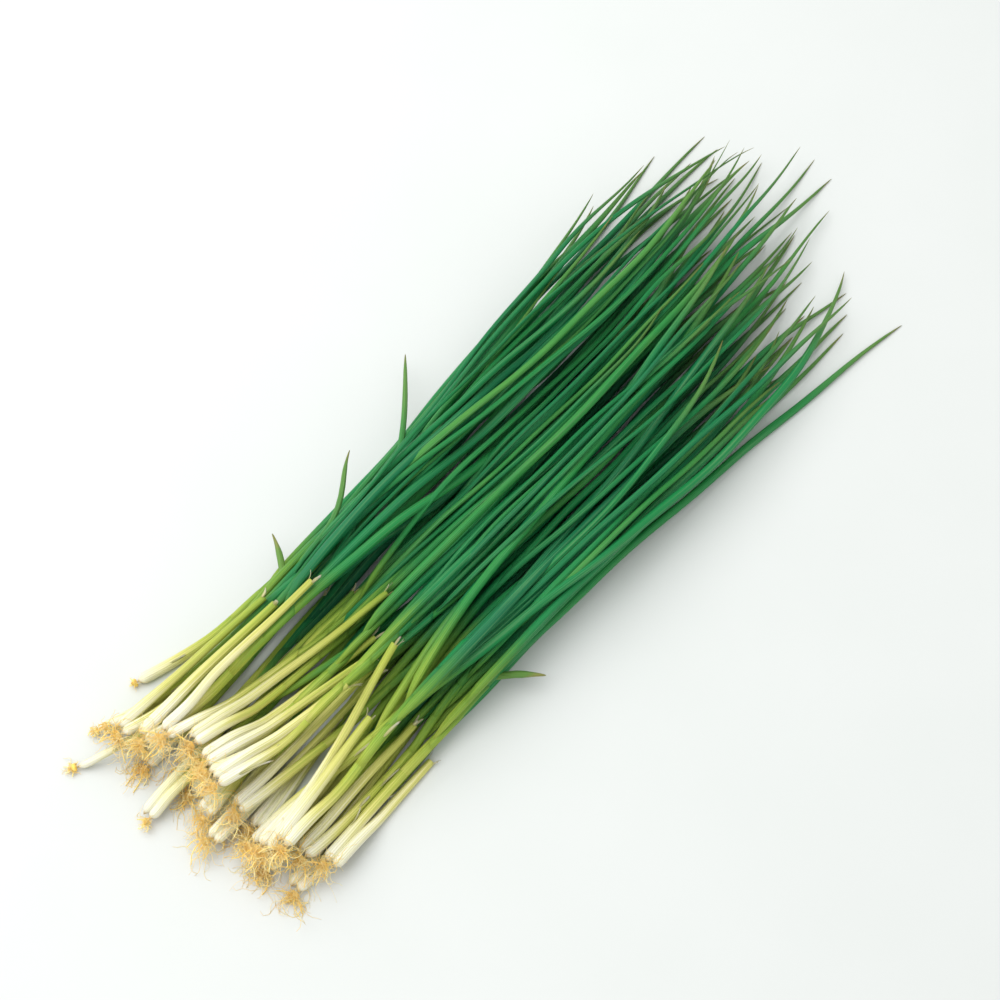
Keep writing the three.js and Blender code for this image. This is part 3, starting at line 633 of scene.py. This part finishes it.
def centre_line(line):
    """A line's course: its plan with a slow sideways waver, at its eased resting height."""
    length = line.route.ends[-1]
    along = np.linspace(0, length, round(length / COURSE_STEP) + 1)
    plan = on_route(line.route, along)
    ahead = unit(np.gradient(plan, axis=0))
    wave = 2 * np.pi * (along / chance.uniform(*WAVER_LENGTH) + chance.random())
    waver = WAVER * np.minimum(1, along / WAVER_FROM) * np.sin(wave)
    plan = plan + waver[:, None] * ahead[:, ::-1] * [1, -1]
    least = LEAST_HEIGHT * eased(line.distances, line.radii, along)
    height = np.maximum(eased(line.distances, line.heights, along), least)
    return path_through(np.column_stack([plan, height]), along)


def on_path(path, along):
    """The centre and the way ahead at places along a path."""
    return [
        np.stack([np.interp(along, path.along, values[:, i]) for i in range(3)], axis=-1)
        for values in (path.points, path.ahead)
    ]


def turns(sides):
    return 2 * np.pi * np.arange(sides) / sides


def swept(path, along, radii):
    """Rings square to a path: centre + r * (side * cos a + up * sin a), with side level to the right, and the
    lower half drawn in to FLATTENED. Radii hold one row for each ring."""
    centre, ahead = on_path(path, along)
    side = unit(np.column_stack([ahead[:, 1], -ahead[:, 0], 0 * along]))
    up = np.cross(side, ahead)
    turn = turns(radii.shape[1])
    rise = np.sin(turn) * np.where(np.sin(turn) < 0, FLATTENED, 1)
    return centre[:, None] + radii[..., None] * (
        side[:, None] * np.cos(turn)[:, None] + up[:, None] * rise[:, None])


class Surface:
    """Closed tubes gathered for one mesh, with each vertex's values and each face corner's place."""

    def __init__(self):
        self.points, self.quads, self.caps, self.quad_places, self.cap_places = [], [], [], [], []
        self.values = {}
        self.count = 0

    def add(self, rings, places, **values):
        """Joins rings to a tube whose first and last ring are single points. The corners' places are the
        share round the ring and the given place along; values hold one number for each ring."""
        ring_count, sides = rings.shape[:2]
        corner = 1 + np.arange((ring_count - 2) * sides).reshape(-1, sides)
        after = np.roll(corner, -1, axis=1)
        quads = np.stack([corner[:-1], corner[1:], after[1:], after[:-1]], axis=-1)
        last = 1 + corner[-1, -1]
        foot_cap = np.stack([0 * corner[0], corner[0], after[0]], axis=-1)
        tip_cap = np.stack([corner[-1], 0 * corner[-1] + last, after[-1]], axis=-1)
        self.points.append(np.vstack([rings[:1, 0], rings[1:-1].reshape(-1, 3), rings[-1:, 0]]))
        self.quads.append(quads.reshape(-1, 4) + self.count)
        self.caps.append(np.vstack([foot_cap, tip_cap]) + self.count)
        self.count += last + 1
        u = np.arange(sides) / sides
        here = np.stack(np.broadcast_arrays(u, places[1:-1, None]), axis=-1)
        there = here + [1 / sides, 0]
        foot, tip = (np.stack([u + 0.5 / sides, 0 * u + end], axis=-1) for end in places[[0, -1]])
        foot_places = np.stack([foot, here[0], there[0]], axis=1)
        tip_places = np.stack([here[-1], tip, there[-1]], axis=1)
        quad_places = np.stack([here[:-1], here[1:], there[1:], there[:-1]], axis=2)
        self.quad_places.append(quad_places.reshape(-1, 2))
        self.cap_places.append(np.vstack([foot_places, tip_places]).reshape(-1, 2))
        for name, value in values.items():
            value = np.broadcast_to(value, ring_count)
            spread = np.r_[value[0], np.repeat(value[1:-1], sides), value[-1]]
            self.values.setdefault(name, []).append(spread)

    def piece(self, name, material):
        """The mesh object, moved from the bunch's millimetres to metres in the solids' frame."""
        mesh = bpy.data.meshes.new(name)
        faces = [*np.vstack(self.quads).tolist(), *np.vstack(self.caps).tolist()]
        mesh.from_pydata((np.vstack(self.points) - origin) / 1000, [], faces)
        mesh.polygons.foreach_set("use_smooth", np.ones(len(faces), bool))
        places = np.vstack([*self.quad_places, *self.cap_places])
        mesh.uv_layers.new(name="along").data.foreach_set("uv", places.astype(np.float32).ravel())
        for key, value in self.values.items():
            attribute = mesh.attributes.new(key, "FLOAT", "POINT")
            attribute.data.foreach_set("value", np.concatenate(value).astype(np.float32))
        mesh.materials.append(material)
        return add_object(name, mesh)


class Value:
    """A number's socket in a material: sums and products with it add Math nodes."""

    def __init__(self, finish, socket):
        self.finish, self.socket = finish, socket

    def maths(self, operation, *others):
        return self.finish.node("Math", {"operation": operation}, dict(enumerate([self, *others])))

    def __add__(self, other):
        return self.maths("ADD", other)

    __radd__ = __add__

    def __sub__(self, other):
        return self.maths("SUBTRACT", other)

    def __mul__(self, other):
        return self.maths("MULTIPLY", other)

    def __truediv__(self, other):
        return self.maths("DIVIDE", other)

    def sine(self):
        return self.maths("SINE")

    def cosine(self):
        return self.maths("COSINE")

    def between(self, low, high):
        """0 at low and 1 at high, with soft ends."""
        limits = {"Value": self, "From Min": low, "From Max": high}
        return self.finish.node("MapRange", {"interpolation_type": "SMOOTHSTEP"}, limits)


class Finish:
    """A material in the making: its nodes come from node(), and its look goes to its one shader."""

    def __init__(self, name, **plain):
        self.material = bpy.data.materials.new(name)
        self.material.use_nodes = True
        self.tree = self.material.node_tree
        self.shader = self.tree.nodes["Principled BSDF"]
        self.look(**plain)

    def feed(self, socket, value):
        if isinstance(value, Value):
            self.tree.links.new(value.socket, socket)
        else:
            socket.default_value = value

    def look(self, **sockets):
        """Sets or links the shader's sockets, named with _ for a space."""
        for name, value in sockets.items():
            self.feed(self.shader.inputs[name.replace("_", " ")], value)

    def node(self, kind, settings, inputs, output=0):
        node = self.tree.nodes.new("ShaderNode" + kind)
        for name, value in settings.items():
            setattr(node, name, value)
        for name, value in inputs.items():
            self.feed(node.inputs[name], value)
        return Value(self, node.outputs[output])

    def attribute(self, name):
        return self.node("Attribute", {"attribute_name": name}, {}, "Fac")

    def mix(self, share, first, second, blend="MIX"):
        """Colours mixed: first where the share is 0, second where it is 1."""
        settings = {"data_type": "RGBA", "blend_type": blend}
        return self.node("Mix", settings, {0: share, 6: first, 7: second}, 2)

    def ramp(self, share, stops):
        """A colour for a share of 0 to 1, between the screen colours of the stops."""
        ramp = self.node("ValToRGB", {}, {"Fac": share})
        elements = ramp.socket.node.color_ramp.elements
        while len(elements) < len(stops):
            elements.new(1)
        for element, (place, shade) in zip(elements, stops):
            element.position, element.color = place, colour(shade)
        return ramp

    def noise(self, vector, scale, detail=2.0):
        return self.node("TexNoise", {}, {"Vector": vector, "Scale": scale, "Detail": detail}, "Fac")

    def bump(self, height, distance):
        """A Bump node from a height of 0 to 1 that stands for a distance in metres."""
        self.look(Normal=self.node("Bump", {}, {"Height": height, "Distance": distance}))


def colour(screen):
    """Screen values from 0 to 255 as the light they stand for: ((v / 255 + 0.055) / 1.055) ^ 2.4."""
    return *(((v / 255 + 0.055) / 1.055) ** 2.4 for v in screen), 1.0


leaf_finish = Finish(
    "chive_leaf", Specular_IOR_Level=0.25, Coat_Roughness=0.4,
    Subsurface_Weight=0.08, Subsurface_Scale=0.0015, Subsurface_Radius=(1.0, 0.9, 0.4))
place = leaf_finish.node("UVMap", {"uv_map": "along"}, {})
split = leaf_finish.node("SeparateXYZ", {}, {"Vector": place})
turn = split * (2 * math.pi)
length = Value(leaf_finish, split.socket.node.outputs["Y"])
tone = leaf_finish.attribute("tone")


def grain_along(width, stretch, apart, scale, detail):
    """Noise read on a circle of a width round the leaf, and up by the stretched length, elsewhere for each
    tone."""
    place = {"X": turn.cosine() * width, "Y": turn.sine() * width, "Z": length * stretch + tone * apart}
    return leaf_finish.noise(leaf_finish.node("CombineXYZ", {}, place), scale, detail)


streaks = grain_along(width=1, stretch=6, apart=50, scale=2.4, detail=2.0)
blotches = grain_along(width=0.4, stretch=60, apart=90, scale=1.0, detail=3.0)
ripeness = leaf_finish.attribute("ripeness") + (streaks - 0.5) * 34 + (blotches - 0.5) * 16
stem = leaf_finish.ramp((ripeness + UNRIPE) / RIPE, STEM_COLOURS)
blade = leaf_finish.ramp(tone + (blotches - 0.5) * 0.3, BLADE_COLOURS)
# Pale streaks along each leaf: partly waxy bloom, partly painted highlight.
blade = leaf_finish.mix(streaks.between(0.5, 0.72) * 0.45, blade, colour(BLOOM_AND_HIGHLIGHT))
skin = leaf_finish.mix(ripeness.between(90, 135), stem, blade)
to_tip = leaf_finish.attribute("to_tip") + (blotches - 0.5) * 16
skin = leaf_finish.mix(to_tip.between(62, 8) * 0.75, skin, colour(OLD_LEAF))
skin = leaf_finish.mix(to_tip.between(9, 1), skin, colour(DRY_TIP))
ribs = (turn * RIBS + (streaks - 0.5) * 6).sine() * 0.5 + 0.5
furrows = ribs * 0.16 + streaks.between(0.25, 0.75) * 0.2
shade = leaf_finish.mix(furrows, (1, 1, 1, 1), colour(FURROW))
leaf_finish.look(
    Base_Color=leaf_finish.mix(1.0, skin, shade, "MULTIPLY"),
    Roughness=0.36 + blotches * 0.2,
    Coat_Weight=ripeness.between(90, 140) * 0.1)
leaf_finish.bump(ribs * 0.5 + streaks * 0.8, RIB_DEPTH)


def ripeness_at(along, plant, pace=1.0):
    """Brown at the very foot, white as far as the plant's own place, then rising with the distance, and with
    its square past GREENING_FROM."""
    ripening = plant.ripening * np.maximum(0, along - plant.white_to)
    ripening += GREENING * np.maximum(0, along - GREENING_FROM) ** 2
    return np.interp(along, (0, FOOT_TO), (-FOOT_RIPENESS, FOOT_RIPENESS)) + pace * ripening


def slimmed(radius, along):
    """Stems and leaves are slimmer than the sheath of a plant, by up to SLIMMING."""
    return radius * (1 - SLIMMING * np.clip((along - SLIM_FROM) / (SLIM_TO - SLIM_FROM), 0, 1))


def add_skin(surface, path, at, radius, tone, length, width, turn, bend):
    """A torn papery strip, of a drawn length, width, turn round its stem and bend: it leaves the stem and
    bends out evenly. After s along it, it has gone sin(c s) / c ahead and (1 - cos(c s)) / c out, with c the
    bend for its length, and its ring is a flat ellipse that narrows."""
    length, width = chance.uniform(*length), chance.uniform(*width)
    turn, bend = np.pi * chance.uniform(*turn), chance.uniform(*bend)
    centre, ahead = on_path(path, at)
    side = unit(np.array([ahead[1], -ahead[0], 0]))
    out = math.cos(turn) * side + math.sin(turn) * np.cross(side, ahead)
    across = np.cross(ahead, out)
    bent = bend * SKIN_PLACES
    middle = centre + out * (radius - SKIN_INSET)
    middle = middle + (np.outer(np.sin(bent), ahead) + np.outer(1 - np.cos(bent), out)) * length / bend
    normal = np.outer(np.cos(bent), out) - np.outer(np.sin(bent), ahead)
    wide = width * SKIN_WIDTHS
    angle = turns(SKIN_SIDES)
    rings = middle[:, None] + (wide[:, None] * np.cos(angle))[..., None] * across + (
        SKIN_THICKNESS * np.outer(wide > 0, np.sin(angle)))[..., None] * normal[:, None]
    surface.add(
        rings, (at + length * SKIN_PLACES) / 1000, tone=tone, to_tip=FAR,
        ripeness=SKIN_RIPENESS - SKIN_DRYING * SKIN_PLACES**3)


def creased(line, along):
    """How far out the surface stands, for its radius: a shallow crease that winds a little, up the leaf."""
    turn = turns(LEAF_SIDES)
    middle = chance.uniform(0, 2 * np.pi) + np.sin(along / chance.uniform(*CREASE_WINDING))
    off = np.abs((turn - middle[:, None] + np.pi) % (2 * np.pi) - np.pi)
    depth = CREASE * chance.random() * np.clip((along - CREASE_FROM) / (CREASE_FULL - CREASE_FROM), 0, 1)
    bulge = 1 + BULGE * np.sin(along / BULGE_LENGTH + chance.uniform(0, BULGE_PHASE))
    return bulge[:, None] - depth[:, None] * np.exp(-((off / CREASE_WIDTH) ** 2))


def rounded_foot(along):
    """The share of its radius that a bulb has from its foot on: the square root of the distance."""
    return np.minimum(1, np.sqrt(along / FOOT_ROUNDING + FOOT_BLUNTNESS * (along > 0)))


def add_blade(surface, line, start_from_foot, plant):
    """The tube of a shoot or a leaf, with close rings at the bulb and the tip."""
    length = line.path.along[-1]
    close = PARTING_PLACES
    if line.kind == "shoot":
        close = np.r_[FOOT_PLACES, np.arange(BULB_FROM, SHEATH_FROM, BULB_STEP)]
    point_at = length - POINT_FROM
    steps = np.linspace(close[-1], point_at, round((point_at - close[-1]) / BLADE_STEP) + 1)
    along = np.r_[close, steps[1:], length - POINT_PLACES]
    radius = eased(line.distances[:-1], line.radii[:-1], along)
    left = np.maximum(0, length - along)
    radius = slimmed(np.where(left < TIP_LENGTH, radius * (left / TIP_LENGTH) ** POINT_POWER, radius), along)
    if line.kind == "shoot":
        radius *= rounded_foot(along)
    radii = radius[:, None] * creased(line, along)
    radii[0] = radii[-1] = 0
    from_foot = start_from_foot + along
    surface.add(
        swept(line.path, along, radii), from_foot / 1000, tone=line.tone, to_tip=left,
        ripeness=ripeness_at(from_foot, plant))


def add_cut(surface, line, plant):
    """The tube of a cut shoot: out along the wall, over the rim, and back inside to a floor."""
    length = line.path.along[-1]
    close = np.r_[FOOT_PLACES, np.arange(BULB_FROM, length - 1, CUT_STEP)]
    along = np.r_[close, length - CUT_WALL, length, length, length - CUT_DEPTH, length - CUT_DEPTH]
    wall = np.r_[0 * close, 0, CUT_RIM, CUT_WALL, CUT_WALL, FAR]
    radius = np.maximum(0, eased(line.distances[:-1], line.radii[:-1], np.minimum(along, length)) - wall)
    radius = slimmed(radius * rounded_foot(along), along)
    radii = radius[:, None] * np.ones(LEAF_SIDES)
    radii[0] = 0
    surface.add(
        swept(line.path, along, radii), along / 1000, tone=line.tone, to_tip=FAR,
        ripeness=ripeness_at(along, plant, CUT_RIPENING))
    for _ in range(chance.integers(*CUT_SKIN_COUNT)):
        add_skin(surface, line.path, length - 1, radius[-5], line.tone, **CUT_SKINS)


def add_sleeve(surface, shoot, leaf, at, plant):
    """The rim of a leaf's base, rolled round the shoot: a thin wall that stands highest under the leaf."""
    ahead = heading_on(shoot.route, at)
    apart = on_route(leaf.route, SLEEVE_SIGHT) - on_route(shoot.route, at + SLEEVE_SIGHT)
    right = apart @ [ahead[1], -ahead[0]]
    side = 0 if right > 0 else np.pi
    along = at + SLEEVE_PLACES
    radius = slimmed(eased(shoot.distances, shoot.radii, along), along) + SLEEVE_WALLS
    radius[[0, -1]] = 0
    rim = np.where(along > at, SLEEVE_RIM, 0)[:, None] * (1 + np.cos(turns(LEAF_SIDES) - side))
    rings = swept(shoot.path, along, radius[:, None] * np.ones(LEAF_SIDES))
    rings[..., :2] += rim[..., None] * ahead
    ripeness = ripeness_at(along, plant) - SLEEVE_PALER
    surface.add(rings, along / 1000, tone=leaf.tone, to_tip=FAR, ripeness=ripeness)


for number, lines in enumerate(plants, 1):
    surface = Surface()
    under = number <= UNDER_PLANTS
    ripening = chance.uniform(*RIPENING) * (UNDER_RIPENING if under else 1)
    plant = SimpleNamespace(ripening=ripening, white_to=chance.uniform(*WHITE_TO))
    plant_tone = chance.random()
    shoot = lines[0]
    for line in lines:
        if line.kind not in ("shoot", "leaf", "cut"):
            continue
        line.path = centre_line(line)
        # Plants at the bottom take a darker tone as painted shade.
        line.tone = lerp(chance.random(), plant_tone, PLANT_TONE) * (UNDER_SHADE_TONE if under else 1)
        if line.kind == "cut":
            add_cut(surface, line, plant)
        elif line.kind == "shoot":
            add_blade(surface, line, 0, plant)
        else:
            add_blade(surface, line, line.parts_at - LEAF_PALER, plant)
            add_sleeve(surface, shoot, line, line.parts_at, plant)
    for _ in range(chance.integers(*STEM_SKIN_COUNT)):
        at = chance.uniform(*STEM_SKIN_AT)
        radius = np.interp(at, shoot.distances[1:-1], shoot.radii[1:-1])
        add_skin(surface, shoot.path, at, radius, 0, **STEM_SKINS)
    piece = surface.piece(f"plant_{number:02d}", leaf_finish.material)
    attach(piece, "root")
    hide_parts(f"chive_{number:02d}")

# ---- Roots ----
# Each bulb ends in a small corky plate, from which a tuft of dry, curling, thread-like roots grows. The tuft
# is one mesh: the plate, four stout roots and many fine ones that sink onto whatever lies below.
PLATE_FROM = -0.25  # of its length, inside the bulb
PLATE_SHAPE = np.array([0.7, 1, 1.02, 0.95, 0.8, 0.5])
STOUT_RADIUS = np.linspace(0.34, 0.18, 10)
FINE_ROOTS, FINE_RINGS = 74, 9
FINE_RADIUS, FINE_THINNING = (0.1, 0.2), 0.55
FINE_LENGTH, FINE_SHORTNESS = (3, 17), 1.7  # with that power of an even draw
FINE_FAN = 105  # degrees
SWING, WAVES, CURL, PHASES = (0.5, 1.7), (4, 10), (-2.4, 2.4), 6.3  # radians
RISE, SAG = (-0.15, 0.5), (0.015, 0.06)  # for the distance, and for its square in mm
SCATTER_ASIDE, SCATTER_UP = (-0.9, 0.9), (-0.8, 0.9)
LEAST_BEND = 0.3  # below this a root is drawn straight over what it lies on
PLATE_ROUND, STOUT_ROUND, FINE_ROUND = 10, 6, 3  # sides
FIBRE, PALE_FIBRE = (255, 206, 92), (255, 238, 168)
BASE, CLUMP, EARTH = (248, 190, 74), (244, 176, 60), (150, 104, 52)

root_finish = Finish(
    "chive_root", Roughness=0.75,
    Subsurface_Weight=0.35, Subsurface_Scale=0.002, Subsurface_Radius=(1.0, 0.6, 0.3))
spot = root_finish.node("TexCoord", {}, {}, "Object")
grain = root_finish.noise(spot, 900.0)
clumps = root_finish.noise(spot, 160.0)
tone = root_finish.attribute("tone")
out = root_finish.attribute("out")
fibre = root_finish.mix(tone, colour(FIBRE), colour(PALE_FIBRE))
fibre = root_finish.mix(out.between(0.5, 0.0) * 0.5, fibre, colour(BASE))
fibre = root_finish.mix(clumps.between(0.5, 0.75) * 0.45, fibre, colour(CLUMP))
fibre = root_finish.mix(grain.between(0.58, 0.8) * 0.2, fibre, colour(EARTH))
root_finish.look(Base_Color=fibre)
root_finish.bump(grain, 0.0001)


def fine_roots(count, left, foot_height, plate_at, back, ground_low, ground):
    """Courses of fine roots, all at once: the heading swings by a slow sine, and the height is the start less
    the sag times the distance squared, but never under what lies below."""
    def each(limits):
        return chance.uniform(*limits, count)[:, None]

    share = np.linspace(0, 1, FINE_RINGS)
    length = left * lerp(*FINE_LENGTH, chance.random(count) ** FINE_SHORTNESS)[:, None]
    first = back + np.radians(each((-FINE_FAN, FINE_FAN)))
    swing, wave, curl, phase = each(SWING), each(WAVES), each(CURL), each((0, PHASES))
    way = first + swing * (np.sin(wave * share + phase) - np.sin(phase)) + curl * share
    step = length / (FINE_RINGS - 1)
    run = np.cumsum(np.stack([np.cos(way), np.sin(way)], axis=-1) * step[..., None], axis=1)
    start = plate_at + chance.uniform(*SCATTER_ASIDE, (count, 1, 2))
    plan = np.concatenate([start, start + run[:, :-1]], axis=1)
    cells = np.clip(np.floor((plan - MAP_FROM) / CELL).astype(int) - ground_low, 0, len(ground) - 1)
    below = ground[cells[..., 0], cells[..., 1]]
    distance = share * length
    rise, sag = each(RISE), each(SAG)
    lifted = foot_height + each(SCATTER_UP) + rise * distance - sag * distance**2
    radius = each(FINE_RADIUS) * (1 - FINE_THINNING * share)
    height = np.maximum(lifted, below + radius)
    smooth = height.copy()
    smooth[:, 1:-1] = np.maximum(height[:, 1:-1], (height[:, :-2] + height[:, 2:]) / 2 - LEAST_BEND)
    return np.concatenate([plan, smooth[..., None]], axis=-1), radius


def add_root(surface, points, radius, sides):
    path = path_through(points, lengths_to(points))
    radii = np.r_[0, radius, 0][:, None] * np.ones(sides)
    along = np.r_[0, path.along, path.along[-1]]
    surface.add(swept(path, along, radii), along / 1000, tone=chance.random(), out=along / along[-1])


for number, lines in enumerate(plants, 1):
    surface = Surface()
    plate = next(line for line in lines if line.kind == "plate")
    plate_at = lerp(plate.knots[1], plate.knots[2], 0.5)
    height = lerp(plate.heights[1], plate.heights[2], 0.5)
    back = plate.knots[2] - plate.knots[1]
    ends = np.column_stack([plate.knots[1:3], np.maximum(plate.heights[1:3], PLATE_RADIUS)])
    course = lerp(ends[0], ends[1], np.linspace(PLATE_FROM, 1, len(PLATE_SHAPE))[:, None])
    add_root(surface, course, PLATE_RADIUS * PLATE_SHAPE, PLATE_ROUND)
    for line in lines:
        if line.kind == "root":
            knots = np.column_stack([line.knots, line.heights])[1:-1]
            at = np.arange(len(knots))
            places = np.linspace(0, len(knots) - 1, len(STOUT_RADIUS))
            course = np.column_stack([eased(at, knots[:, i], places) for i in range(3)])
            add_root(surface, course, STOUT_RADIUS, STOUT_ROUND)
    left = lines[0].roots
    count = round(FINE_ROOTS * left)
    courses, radii = fine_roots(count, left, height, plate_at, math.atan2(back[1], back[0]), *lines[0].ground)
    for course, radius in zip(courses, radii):
        add_root(surface, course, radius, FINE_ROUND)
    piece = surface.piece(f"tuft_{number:02d}", root_finish.material)
    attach(piece, "root")
    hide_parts(f"roots_{number:02d}")

# ---- Floor and light ----
FLOOR_HALF = 4.0  # metres
FLOOR_LIGHT, FLOOR_DARK = (210, 213, 211), (205, 209, 206)
KEY_PLACE = Vector((-0.20, 0.50, 0.90))
KEY_SIZE, KEY_POWER = 1.2, 11.6
WORLD_LIGHT = 0.88

corners = [(x * FLOOR_HALF, y * FLOOR_HALF, 0) for x, y in [(-1, -1), (1, -1), (1, 1), (-1, 1)]]
floor_mesh = bpy.data.meshes.new("floor")
floor_mesh.from_pydata(corners, [], [(0, 1, 2, 3)])
floor_finish = Finish("floor_paper", Roughness=0.85)
spot = floor_finish.node("TexCoord", {}, {}, "Object")
mottle = floor_finish.noise(spot, 14.0, 4.0)
floor_finish.look(Base_Color=floor_finish.mix(mottle, colour(FLOOR_DARK), colour(FLOOR_LIGHT)))
floor_mesh.materials.append(floor_finish.material)
floor = add_object("floor", floor_mesh)

key_light = bpy.data.lights.new("key_light", "AREA")
key_light.shape = "SQUARE"
key_light.size = KEY_SIZE
key_light.energy = KEY_POWER
lamp = add_object("key_light", key_light)
lamp.location = KEY_PLACE
lamp.rotation_euler = (-KEY_PLACE).to_track_quat("-Z", "Y").to_euler()
world = bpy.data.worlds.new("world")
bpy.context.scene.world = world
world.use_nodes = True
background = world.node_tree.nodes["Background"].inputs
background["Color"].default_value = (1, 1, 1, 1)
background["Strength"].default_value = WORLD_LIGHT
bpy.context.scene.view_settings.view_transform = "Standard"
